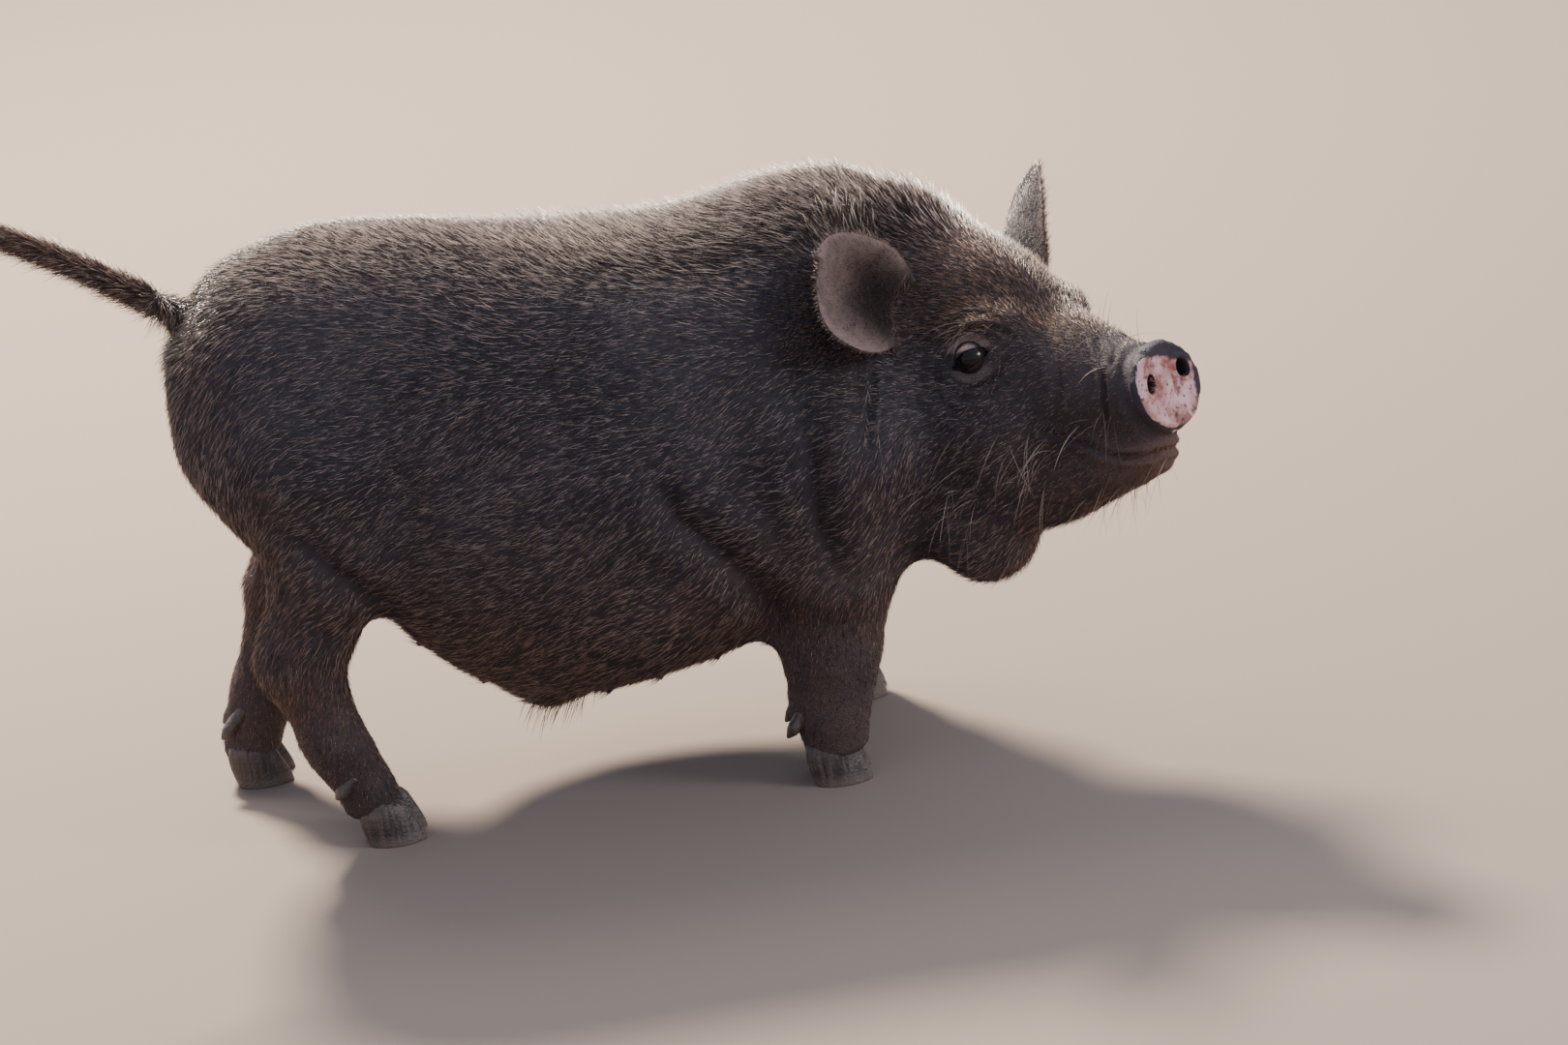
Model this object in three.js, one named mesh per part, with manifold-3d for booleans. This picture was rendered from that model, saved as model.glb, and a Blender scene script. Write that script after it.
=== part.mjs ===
// A pot-bellied boar standing with its head turned to the right and raised, life size.
// Millimetres, +Z up, +X towards the head, +Y to the pig's left, floor at z = 0.
//
// The flesh is one smooth field, made of named round forms that blend into each other. Each named part
// is that field's surface, taken at a cell size that suits it and parted from its neighbours by thin cuts.
// The sizes run out to the tips of the coat.

import * as THREE from 'three';
import { mergeVertices } from 'three/addons/utils/BufferGeometryUtils.js';
import { LoftGeometry } from 'three/addons/geometries/LoftGeometry.js';
import Module from 'manifold-3d';

const wasm = await Module();
wasm.setup();

// ---- Driving dimensions ----

const gap = 0.4;
const sides = { right: -1, left: 1 };

// Trunk profile: [station along the body, back height, belly height, half width].
const ribs = [
  [-112, 390, 300, 60],
  [-75, 436, 236, 106],
  [-5, 463, 196, 132],
  [36, 462, 140, 142],
  [78, 458, 102, 152],
  [150, 444, 80, 164],
  [230, 435, 86, 166],
  [310, 434, 104, 155],
  [370, 439, 120, 138],
  [410, 438, 140, 116],
];
const ribSquareness = 2.25;

const head = { at: [528, -80, 338], yaw: -42, pitch: 17, roll: 7.5 };
const eye = { radius: 12.5, forward: -2, aside: 58, up: -10 };
const snout = { forward: 116, down: 66, halfWidth: 36, halfHeight: 34, thickness: 13, nostril: [9, 6, 9] };
const mouthLine = { from: 40, down: 99, tilt: -1 };
const neckCut = 412;
const headCut = -82;

// How coarsely each part's skin is faceted.
const cells = { trunk: 31, head: 16, thigh: 26, shank: 18 };

const hoof = { length: 46, halfWidth: 12.5, height: 26, apart: 14, lean: 7 };
const dewclaw = { length: 26, radius: 7, apart: 17, height: 40, droop: 35 };

// Joint centres down each leg: [x, distance from the midplane, z, radius].
const legs = {
  foreleg_right: {
    side: -1, hoofAt: 350, dewclawAt: 308, outline: 'fore', split: 118,
    joints: [[372, 78, 260, 82], [362, 86, 175, 52], [354, 86, 108, 38], [347, 85, 62, 29], [348, 84, 30, 25]],
  },
  foreleg_left: {
    side: 1, hoofAt: 372, dewclawAt: 330, outline: 'fore', split: 118,
    joints: [[376, 78, 260, 82], [372, 86, 175, 52], [368, 86, 108, 38], [368, 85, 62, 29], [368, 84, 30, 25]],
  },
  hindleg_right: {
    side: -1, hoofAt: 3, dewclawAt: -42, outline: 'hind', split: 172,
    joints: [[-10, 70, 300, 92], [-8, 84, 240, 52], [-50, 82, 156, 34], [-34, 80, 84, 24], [-10, 80, 30, 24]],
  },
  hindleg_left: {
    side: 1, hoofAt: -104, dewclawAt: -136, outline: 'hind', split: 172,
    joints: [[-22, 70, 300, 92], [-16, 84, 240, 56], [-62, 82, 158, 34], [-98, 80, 70, 24], [-112, 80, 30, 24]],
  },
};
const tail = { root: [-96, 0, 410], middle: [-205, 4, 494], tip: [-300, 14, 526], rootRadius: 11, tipRadius: 5 };

const ear = { width: 46, thickness: 7, cup: 18 };

// Each ear in the head's frame, as if on the left: its root, its way up, the way it faces and its length.
// An edge of an ear is `base` of its width at the root, full at `full` of the length and closed at `end` of
// it, more suddenly with a higher `power` and a lower `blunt`.
const earPoses = {
  right: {
    root: [-53, 73, 43],
    along: [0.16, 0.83, 0.53],
    facing: [0.96, -0.05, -0.22],
    length: 98,
    front: { width: 36, base: 0.82, full: 0.4, end: 1, power: 4, blunt: 0.5 },
    rear: { width: 57, base: 0.6, full: 0.6, end: 0.94, power: 13, blunt: 0.95 },
  },
  left: {
    root: [-67, 63, 40],
    along: [0.06, 0.69, 0.72],
    facing: [0.3, 0.9, -0.45],
    length: 104,
    front: { width: 47, base: 0.95, full: 0.3, end: 1, power: 1, blunt: 0.55 },
    rear: { width: 46, base: 0.82, full: 0.4, end: 1, power: 2.3, blunt: 0.65 },
  },
};

const colours = { hide: 0x35312f, snout: 0xb08f88, eye: 0x120c0a, horn: 0x4a423b, ear: 0x6b5a52 };

// ---- Round forms: each is a function of a point that gives its signed distance ----

const ellipsoid = ([cx, cy, cz], [rx, ry, rz]) => (x, y, z) => {
  const a = (x - cx) / rx;
  const b = (y - cy) / ry;
  const c = (z - cz) / rz;
  const reach = Math.hypot(a, b, c);
  return reach * (reach - 1) / Math.max(Math.hypot(a / rx, b / ry, c / rz), 1e-9);
};

const limb = ([ax, ay, az, ra], [bx, by, bz, rb]) => (x, y, z) => {
  const dx = bx - ax;
  const dy = by - ay;
  const dz = bz - az;
  const along = ((x - ax) * dx + (y - ay) * dy + (z - az) * dz) / (dx * dx + dy * dy + dz * dz);
  const t = THREE.MathUtils.clamp(along, 0, 1);
  return Math.hypot(x - ax - t * dx, y - ay - t * dy, z - az - t * dz) - THREE.MathUtils.lerp(ra, rb, t);
};

function blend(softness, forms) {
  return (x, y, z) => forms.reduce((near, form) => {
    const far = form(x, y, z);
    const h = Math.max(softness - Math.abs(near - far), 0) / softness;
    return Math.min(near, far) - h * h * softness / 4;
  }, Infinity);
}

const framed = (matrix, form) => {
  const e = matrix.clone().invert().elements;
  return (x, y, z) => form(
    e[0] * x + e[4] * y + e[8] * z + e[12],
    e[1] * x + e[5] * y + e[9] * z + e[13],
    e[2] * x + e[6] * y + e[10] * z + e[14],
  );
};

// A smooth curve through the rows of a profile, read at any station.
function profileAt(rows, x) {
  const last = rows.length - 2;
  const i = THREE.MathUtils.clamp(rows.findIndex((row) => row[0] > x) - 1, 0, last);
  const k = x >= rows[last + 1][0] ? last : i;
  const t = THREE.MathUtils.clamp((x - rows[k][0]) / (rows[k + 1][0] - rows[k][0]), 0, 1);
  return rows[k].slice(1).map((value, n) => {
    const before = rows[Math.max(k - 1, 0)][n + 1];
    const next = rows[k + 1][n + 1];
    const after = rows[Math.min(k + 2, last + 1)][n + 1];
    const bend = 2 * before - 5 * value + 4 * next - after;
    const twist = 3 * value - before - 3 * next + after;
    return value + 0.5 * t * (next - before + t * (bend + t * twist));
  });
}

function barrel(x, y, z) {
  const [top, bottom, halfWidth] = profileAt(ribs, x);
  const halfHeight = (top - bottom) / 2;
  const aside = Math.abs(y) / halfWidth;
  const up = Math.abs(z - (top + bottom) / 2) / halfHeight;
  const reach = (aside ** ribSquareness + up ** ribSquareness) ** (1 / ribSquareness) - 1;
  const across = reach * Math.min(halfHeight, halfWidth);
  const beyond = Math.max(ribs[0][0] - x, x - ribs[ribs.length - 1][0], 0);
  return beyond > 0 ? Math.hypot(Math.max(across, 0), beyond) : across;
}

// ---- The flesh ----

// The head's own frame: x towards the snout, y to the left, z up, origin midway between the eyes.
const headFrame = new THREE.Matrix4().makeRotationFromEuler(new THREE.Euler(
  -THREE.MathUtils.degToRad(head.roll),
  -THREE.MathUtils.degToRad(head.pitch),
  THREE.MathUtils.degToRad(head.yaw),
  'ZYX',
)).setPosition(...head.at);

const paired = (centre, radii) => Object.values(sides)
  .map((side) => ellipsoid([centre[0], side * centre[1], centre[2]], radii));

const headForms = framed(headFrame, blend(26, [
  ellipsoid([-48, 0, 12], [76, 60, 68]),
  ellipsoid([14, 0, -38], [68, 49, 44]),
  limb([40, 0, -54, 42], [124, 0, -68, 31]),
  limb([-10, 0, -116, 38], [93, 0, -112, 21]),
  ...paired([6, 43, 6], [28, 16, 13]),
  ...paired([-28, 40, -66], [56, 40, 56]),
  // The turn of the head crowds the right jowl and draws the left one back.
  ellipsoid([-72, -26, -119], [46, 45, 66]),
  ellipsoid([-86, 12, -120], [38, 40, 65]),
]));

function atHead(x, y, z, radius) {
  return [...new THREE.Vector3(x, y, z).applyMatrix4(headFrame).toArray(), radius];
}

const neckForms = blend(50, [
  limb([352, 0, 292, 134], atHead(-84, 6, -46, 84)),
  limb([368, 0, 340, 94], atHead(-70, 4, -8, 60)),
  ellipsoid([422, -6, 391], [78, 42, 54]),
]);

const legForm = ({ side, joints }) => {
  const placed = joints.map(([x, aside, z, radius]) => [x, side * aside, z, radius]);
  return blend(16, placed.slice(1).map((joint, i) => limb(placed[i], joint)));
};

const torso = blend(34, [
  barrel,
  ellipsoid([-42, 0, 334], [78, 110, 104]),
  ellipsoid([132, 0, 78], [40, 19, 26]),
  neckForms,
  headForms,
]);

const body = blend(22, [torso, ...Object.values(legs).map(legForm)]);

// ---- From fields and geometries to solids ----

function toSolid(geometry, matrix) {
  const bare = new THREE.BufferGeometry().copy(geometry);
  ['normal', 'uv'].forEach((name) => bare.deleteAttribute(name));
  if (matrix) bare.applyMatrix4(matrix);
  const merged = mergeVertices(bare, 1e-3);
  const corners = merged.index.array;
  const triangles = [];
  for (let i = 0; i < corners.length; i += 3) {
    const [a, b, c] = corners.slice(i, i + 3);
    if (a !== b && b !== c && c !== a) triangles.push(a, b, c);
  }
  return new wasm.Manifold(new wasm.Mesh({
    numProp: 3,
    vertProperties: new Float32Array(merged.attributes.position.array),
    triVerts: new Uint32Array(triangles),
  }));
}

function toGeometry(solid) {
  const mesh = solid.getMesh();
  const geometry = new THREE.BufferGeometry();
  geometry.setAttribute('position', new THREE.BufferAttribute(mesh.vertProperties, 3));
  geometry.setIndex(new THREE.BufferAttribute(mesh.triVerts, 1));
  return mainBody(mergeVertices(geometry, 1e-3));
}

// The largest of a geometry's separate bodies, so that a cut leaves no loose sliver.
function mainBody(geometry) {
  const corners = geometry.index.array;
  const joined = Array.from({ length: geometry.attributes.position.count }, (_, i) => i);
  const bodyOf = (corner) => {
    let i = corner;
    while (joined[i] !== i) i = joined[i];
    joined[corner] = i;
    return i;
  };
  for (let i = 0; i < corners.length; i += 3) {
    joined[bodyOf(corners[i + 1])] = bodyOf(corners[i]);
    joined[bodyOf(corners[i + 2])] = bodyOf(corners[i]);
  }
  const bodies = new Map();
  corners.forEach((corner) => bodies.set(bodyOf(corner), []));
  corners.forEach((corner) => bodies.get(bodyOf(corner)).push(corner));
  geometry.setIndex([...bodies.values()].sort((a, b) => b.length - a.length)[0]);
  return mergeVertices(geometry.toNonIndexed(), 1e-3);
}

// The nearest point of a field's surface to a point close by.
function ontoSkin(field, point) {
  const at = (x, y, z) => field(point.x + x, point.y + y, point.z + z);
  const here = at(0, 0, 0);
  const slope = new THREE.Vector3(at(1, 0, 0) - here, at(0, 1, 0) - here, at(0, 0, 1) - here);
  return point.addScaledVector(slope, -here / Math.max(slope.lengthSq(), 0.1));
}

// The surface of a field inside a box: one corner in each cell that the surface crosses, moved onto it.
function surfaceOf(field, box, cell) {
  const count = box.getSize(new THREE.Vector3()).divideScalar(cell).ceil().addScalar(1).toArray();
  const at = (i, j, k) => (i * count[1] + j) * count[2] + k;
  const place = (n, i) => box.min.getComponent(n) + i * cell;
  const values = new Float64Array(count[0] * count[1] * count[2]).fill(cell);
  for (let i = 1; i < count[0] - 1; i++) {
    for (let j = 1; j < count[1] - 1; j++) {
      for (let k = 1; k < count[2] - 1; k++) values[at(i, j, k)] = field(place(0, i), place(1, j), place(2, k));
    }
  }

  const steps = [[1, 0, 0], [0, 1, 0], [0, 0, 1]];
  const corners = new Map();
  const points = [];
  const cornerIn = (i, j, k) => {
    const key = at(i, j, k);
    if (corners.has(key)) return corners.get(key);
    const sum = new THREE.Vector3();
    let crossings = 0;
    steps.forEach((step, n) => {
      const [u, v] = [steps[(n + 1) % 3], steps[(n + 2) % 3]];
      for (const [s, t] of [[0, 0], [0, 1], [1, 0], [1, 1]]) {
        const from = [i, j, k].map((value, axis) => value + s * u[axis] + t * v[axis]);
        const start = values[at(...from)];
        const end = values[at(...from.map((value, axis) => value + step[axis]))];
        if (start < 0 === end < 0) continue;
        const along = start / (start - end);
        sum.add(new THREE.Vector3(...from.map((value, axis) => place(axis, value + along * step[axis]))));
        crossings++;
      }
    });
    points.push(ontoSkin(field, sum.divideScalar(crossings)));
    corners.set(key, points.length - 1);
    return points.length - 1;
  };

  const index = [];
  for (let i = 0; i < count[0] - 1; i++) {
    for (let j = 0; j < count[1] - 1; j++) {
      for (let k = 0; k < count[2] - 1; k++) {
        steps.forEach((step, n) => {
          const inside = values[at(i, j, k)] < 0;
          if (inside === values[at(i + step[0], j + step[1], k + step[2])] < 0) return;
          const [u, v] = [steps[(n + 1) % 3], steps[(n + 2) % 3]];
          const ring = [[1, 1], [0, 1], [0, 0], [1, 0]]
            .map(([s, t]) => cornerIn(i - s * u[0] - t * v[0], j - s * u[1] - t * v[1], k - s * u[2] - t * v[2]));
          if (!inside) ring.reverse();
          const [a, b, c, d] = ring;
          const crossAC = points[a].distanceTo(points[c]) < points[b].distanceTo(points[d]);
          index.push(...(crossAC ? [a, b, c, a, c, d] : [a, b, d, b, c, d]));
        });
      }
    }
  }

  const geometry = new THREE.BufferGeometry();
  geometry.setAttribute('position', new THREE.Float32BufferAttribute(points.flatMap((p) => p.toArray()), 3));
  geometry.setIndex(index);
  return geometry;
}

// The same geometry drawn in by the gap on every side.
function drawnIn(geometry) {
  const box = new THREE.Box3().setFromBufferAttribute(geometry.attributes.position);
  const half = box.getSize(new THREE.Vector3()).multiplyScalar(0.5);
  const centre = box.getCenter(new THREE.Vector3());
  const ratio = half.clone().subScalar(gap).divide(half);
  const about = new THREE.Matrix4().makeTranslation(centre)
    .scale(ratio)
    .multiply(new THREE.Matrix4().makeTranslation(centre.clone().negate()));
  return geometry.clone().applyMatrix4(about);
}

function boxBetween(low, high, matrix) {
  const size = high.map((value, n) => value - low[n]);
  const geometry = new THREE.BoxGeometry(...size).translate(...low.map((value, n) => value + size[n] / 2));
  return matrix ? geometry.applyMatrix4(matrix) : geometry;
}

// The body's skin inside a box. A cell that two sheets of skin cross doesn't close, so it is made coarser.
function skinIn(box, cell) {
  try {
    return toSolid(surfaceOf(body, box, cell));
  } catch {
    return skinIn(box, cell * 1.01);
  }
}

// A part of the flesh: the skin inside a region, less what its neighbours take.
function fleshIn(region, cell, taken = []) {
  const box = new THREE.Box3().setFromBufferAttribute(region.attributes.position);
  const skin = skinIn(box.intersect(bodyBox).expandByScalar(2 * cell), cell);
  return taken.reduce((rest, cutter) => rest.subtract(cutter), skin.intersect(toSolid(drawnIn(region))));
}

// ---- Regions that part the flesh ----

const bodyBox = new THREE.Box3(new THREE.Vector3(-150, -200, 20), new THREE.Vector3(700, 200, 490));
const turned = (degrees, x, y, z) => new THREE.Matrix4()
  .makeRotationZ(THREE.MathUtils.degToRad(degrees)).setPosition(x, y, z);

const trunkRegion = boxBetween([-150, -200, 60], [480, 200, 490]);
const frontRegion = boxBetween([0, -260, -130], [400, 260, 360], turned(head.yaw * 0.3, neckCut, 0, 130));
const headRegion = boxBetween([headCut, -150, -200], [snout.forward, 150, 130], headFrame);
const beforeNeck = boxBetween([headCut, -150, -200], [300, 150, 130], headFrame);

// Seen from the side: the shoulder or thigh above, the shank and foot below.
const legOutlines = {
  fore: [[292, 20], [438, 20], [432, 150], [436, 240], [372, 300], [306, 240], [300, 150]],
  hind: [[-180, 20], [30, 20], [16, 130], [54, 222], [46, 310], [-20, 366], [-180, 366]],
};

function legRegion({ side, outline }) {
  const shape = new THREE.Shape(legOutlines[outline].map(([x, z]) => new THREE.Vector2(x, z)));
  const inner = 26;
  const depth = 180;
  return new THREE.ExtrudeGeometry(shape, { depth, bevelEnabled: false })
    .applyMatrix4(new THREE.Matrix4().makeRotationX(Math.PI / 2))
    .translate(0, side < 0 ? -inner : inner + depth, 0);
}

// ---- Hooves, tail, ears, eyes and snout ----

const ring = (count, toPoint) => Array.from({ length: count }, (_, i) => toPoint(i / count * 2 * Math.PI));

// One claw stands on its flat sole, with a sloping toe wall and a round heel; x is forward.
function clawGeometry(height) {
  const levels = [[0, 1], [0.45, 0.98], [1, 0.78]];
  return new LoftGeometry(levels.map(([up, size]) => ring(10, (turn) => {
    const toe = Math.max(Math.cos(turn), 0);
    return new THREE.Vector3(
      hoof.length / 2 * size * Math.cos(turn) * (1 + 0.1 * toe) - hoof.lean * up,
      hoof.halfWidth * size * Math.sin(turn) * (1 - 0.25 * toe),
      height * up,
    );
  })), { capStart: true, capEnd: true });
}

function dewclawGeometry() {
  const profile = [[0, 0], [0.7, 0.12], [1, 0.5], [0.9, 1], [0, 1]]
    .map(([radius, up]) => new THREE.Vector2(dewclaw.radius * radius, dewclaw.length * up));
  return new THREE.LatheGeometry(profile, 7).rotateX(Math.PI / 2);
}

function tailGeometry(from, to) {
  const path = new THREE.QuadraticBezierCurve3(
    new THREE.Vector3(...tail.root),
    new THREE.Vector3(...tail.middle),
    new THREE.Vector3(...tail.tip),
  );
  const steps = 5;
  const rings = Array.from({ length: steps + 1 }, (_, i) => {
    const t = THREE.MathUtils.lerp(from, to, i / steps);
    const tangent = path.getTangent(t);
    const across = new THREE.Vector3(0, 1, 0).cross(tangent).normalize();
    const aside = tangent.clone().cross(across);
    const radius = THREE.MathUtils.lerp(tail.rootRadius, tail.tipRadius, t);
    return ring(9, (turn) => path.getPoint(t)
      .addScaledVector(across, radius * Math.cos(turn))
      .addScaledVector(aside, radius * Math.sin(turn)));
  });
  return new LoftGeometry(rings, { capStart: true, capEnd: true });
}

// A broad leaf that stands on its base: z along the ear, y across it, its hollow facing +x.
function earEdge({ width, base, full, end, power, blunt }, t) {
  const fan = base + (1 - base) * Math.sin(Math.PI / 2 * Math.min(t / full, 1));
  return Math.max(width * fan * (1 - Math.min(t / end, 1) ** power) ** blunt, 4);
}

function earGeometry({ length, front, rear }, side) {
  const levels = 8;
  return new LoftGeometry(Array.from({ length: levels + 1 }, (_, i) => {
    const t = (i / levels) ** 0.9;
    const reach = { front: earEdge(front, t), rear: earEdge(rear, t) };
    const wall = ear.thickness / 2 * (1.5 - 0.7 * t);
    return ring(12, (turn) => {
      const across = Math.cos(turn) * (side * Math.cos(turn) < 0 ? reach.front : reach.rear);
      return new THREE.Vector3(
        ear.cup * (across / ear.width) ** 2 * (1.5 - t) - wall * Math.sin(turn),
        across,
        length * t,
      );
    });
  }), { capStart: true, capEnd: true });
}

// The flat disc that ends the snout, with its two nostrils.
function snoutSolid() {
  const levels = [[0, 0.95], [0.5, 1.02], [0.9, 1], [1, 0.9]];
  const disc = toSolid(new LoftGeometry(levels.map(([along, size]) => ring(20, (turn) => new THREE.Vector3(
    snout.forward + gap + snout.thickness * along,
    snout.halfWidth * size * Math.cos(turn),
    snout.halfHeight * size * Math.sin(turn) - snout.down,
  ))), { capStart: true, capEnd: true }), headFrame);
  return Object.values(sides).reduce((rest, side) => rest.subtract(toSolid(
    new THREE.SphereGeometry(1, 8, 6).scale(...snout.nostril)
      .translate(snout.forward + snout.thickness, side * snout.halfWidth * 0.42, 3 - snout.down),
    headFrame,
  )), disc);
}

// ---- Assembly ----

const pig = new THREE.Group();

function add(name, shape, colour, roughness = 0.8) {
  const geometry = toGeometry(shape.isBufferGeometry ? toSolid(shape) : shape);
  geometry.computeVertexNormals();
  const mesh = new THREE.Mesh(geometry, new THREE.MeshStandardMaterial({ color: colour, roughness, metalness: 0 }));
  mesh.name = name;
  pig.add(mesh);
}

const front = toSolid(frontRegion);
const headSpace = toSolid(beforeNeck);
const legSpaces = Object.values(legs).map((leg) => toSolid(legRegion(leg)));

const trunk = fleshIn(trunkRegion, cells.trunk, [front, headSpace, ...legSpaces]);
const neck = fleshIn(frontRegion, cells.trunk, [headSpace, ...legSpaces]);
add('trunk', trunk, colours.hide);
add('neck', neck, colours.hide);

// The mouth parts the jaw from the head, and each eye sits in a socket.
const mouth = (open) => new THREE.Matrix4().multiplyMatrices(headFrame, new THREE.Matrix4()
  .makeRotationY(THREE.MathUtils.degToRad(mouthLine.tilt)).setPosition(mouthLine.from, 0, open - mouthLine.down));
const below = toSolid(boxBetween([0, -120, -120], [200, 120, 0], mouth(0)));
const jawSpace = toSolid(boxBetween([gap, -120, -120], [200, 120, 0], mouth(-gap)));
const sockets = Object.values(sides).map((side) => toSolid(
  new THREE.SphereGeometry(eye.radius + gap, 10, 7).translate(eye.forward, side * eye.aside, eye.up),
  headFrame,
));
const wholeHead = fleshIn(headRegion, cells.head);
add('head', sockets.reduce((rest, socket) => rest.subtract(socket), wholeHead.subtract(below)), colours.hide);
add('jaw', wholeHead.intersect(jawSpace), colours.hide);
add('snout', snoutSolid(), colours.snout, 0.45);

for (const [name, side] of Object.entries(sides)) {
  const ball = new THREE.SphereGeometry(eye.radius, 10, 7)
    .translate(eye.forward, side * eye.aside, eye.up).applyMatrix4(headFrame);
  add(`eye_${name}`, ball, colours.eye, 0.1);
}

// Each ear rises from the crown and stops short of the head.
for (const [name, side] of Object.entries(sides)) {
  const mirrored = ([x, y, z]) => new THREE.Vector3(x, side * y, z);
  const along = mirrored(earPoses[name].along).normalize();
  const across = along.clone().cross(mirrored(earPoses[name].facing)).normalize();
  const place = new THREE.Matrix4().makeBasis(across.clone().cross(along), across, along)
    .setPosition(mirrored(earPoses[name].root));
  const placeInWorld = new THREE.Matrix4().multiplyMatrices(headFrame, place);
  const shape = toSolid(earGeometry(earPoses[name], side), placeInWorld);
  const rise = along.transformDirection(headFrame).multiplyScalar(gap).toArray();
  const clear = shape.subtract(wholeHead.translate(rise)).subtract(neck.translate(rise));
  add(`ear_${name}`, clear, colours.ear);
}

const tailLengths = { tail_root: [0, 0.36], tail_middle: [0.36, 0.7], tail_tip: [0.7, 1] };
for (const [name, [from, to]] of Object.entries(tailLengths)) {
  add(name, toSolid(tailGeometry(from + 0.003, to)).subtract(trunk.translate([-gap, 0, gap])), colours.hide);
}

for (const [name, leg] of Object.entries(legs)) {
  const region = legRegion(leg);
  const lengthFrom = (cell, low, high) => fleshIn(region, cell, [headSpace])
    .intersect(toSolid(boxBetween([-300, -300, low], [700, 300, high])));
  const lower = lengthFrom(cells.shank, hoof.height + gap, leg.split);
  add(`${name}_upper`, lengthFrom(cells.thigh, leg.split + gap, 600), colours.hide);
  add(`${name}_lower`, lower, colours.hide);

  const [, aside] = leg.joints[leg.joints.length - 1];
  for (const [place, apart] of Object.entries({ inner: -1, outer: 1 })) {
    const claw = clawGeometry(hoof.height)
      .translate(leg.hoofAt, leg.side * (aside + apart * hoof.apart), 0);
    add(`hoof_${name}_${place}`, claw, colours.horn, 0.6);
    const spur = dewclawGeometry().rotateY(THREE.MathUtils.degToRad(dewclaw.droop))
      .translate(leg.dewclawAt, leg.side * (aside + apart * dewclaw.apart), dewclaw.height);
    add(`dewclaw_${name}_${place}`, toSolid(spur).subtract(lower.translate([-gap, 0, 0])), colours.horn, 0.6);
  }
}

const box = new THREE.Box3().setFromObject(pig);
const middle = box.getCenter(new THREE.Vector3());
pig.position.set(-middle.x, -middle.y, -box.min.z);

export default pig;
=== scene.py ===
# A pot-bellied boar, life size, as a still museum model: skin, coat, eyes, hooves and dewclaws.
# Shapes are worked out in millimetres in the pig's own frame, then placed in the frame's metres.

import contextlib
import math

import bmesh
import bpy
import numpy as np
from mathutils import Matrix, Vector
from mathutils.bvhtree import BVHTree
from mathutils.kdtree import KDTree


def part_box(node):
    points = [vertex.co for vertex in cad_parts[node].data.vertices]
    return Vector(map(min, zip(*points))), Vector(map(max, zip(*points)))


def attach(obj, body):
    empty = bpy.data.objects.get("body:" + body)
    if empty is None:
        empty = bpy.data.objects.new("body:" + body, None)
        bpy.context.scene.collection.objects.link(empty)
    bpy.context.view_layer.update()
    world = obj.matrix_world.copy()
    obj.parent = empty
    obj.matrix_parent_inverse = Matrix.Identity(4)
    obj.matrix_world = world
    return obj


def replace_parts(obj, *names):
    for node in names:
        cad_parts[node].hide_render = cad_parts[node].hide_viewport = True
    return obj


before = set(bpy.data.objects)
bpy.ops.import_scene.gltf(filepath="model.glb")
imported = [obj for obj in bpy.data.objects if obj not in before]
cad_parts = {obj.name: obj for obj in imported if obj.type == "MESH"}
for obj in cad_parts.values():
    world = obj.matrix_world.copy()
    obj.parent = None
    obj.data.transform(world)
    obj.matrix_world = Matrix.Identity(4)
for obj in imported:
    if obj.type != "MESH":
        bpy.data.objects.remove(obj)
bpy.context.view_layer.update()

# ---- Where the pig stands ----

SIDES = {"right": -1, "left": 1}
LEGS = ("foreleg_right", "foreleg_left", "hindleg_right", "hindleg_left")
PLACES = ("inner", "outer")


def box_of(node):
    """A node's low and high corners, in the frame's millimetres."""
    low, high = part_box(node)
    return np.array(low) * 1000, np.array(high) * 1000


# Where one claw stands in the pig's own frame, which ties that frame to the CAD's.
CLAW_AT, CLAW_SLIP = (3, -94), 0.2
claw_low, claw_high = box_of("hoof_hindleg_right_outer")
claw_middle = (claw_low + claw_high) / 2
OFFSET = np.array([claw_middle[0] + CLAW_SLIP - CLAW_AT[0], claw_middle[1] - CLAW_AT[1], 0])

HEAD_AT = np.array([528.0, -80.0, 338.0])
HEAD_TURN = np.array(
    Matrix.Rotation(math.radians(-42), 3, "Z")
    @ Matrix.Rotation(math.radians(-17), 3, "Y")
    @ Matrix.Rotation(math.radians(-7.5), 3, "X"))


def to_head(points):
    return (points - HEAD_AT) @ HEAD_TURN


def from_head(points):
    return np.asarray(points, float) @ HEAD_TURN.T + HEAD_AT


def unit(vectors):
    """A vector, or each row of an array, at length 1."""
    if vectors.ndim == 1:
        return vectors / np.linalg.norm(vectors)
    return vectors / np.maximum(np.linalg.norm(vectors, axis=1), 1e-6)[:, None]


def distance(points, centre):
    return np.linalg.norm(points - np.array(centre, float), axis=1)


EYE_RADIUS = 12.5
EYE_CENTRES = {name: (-2.0, side * 58.0, -10.0) for name, side in SIDES.items()}
EYE_OUT, EYE_ALONG = np.array([0.34, 0.93, 0.14]), np.array([0.93, -0.34, -0.12])
SNOUT = {"forward": 129.5, "down": -66.0, "half_width": 36.0, "half_height": 34.0}
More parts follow.
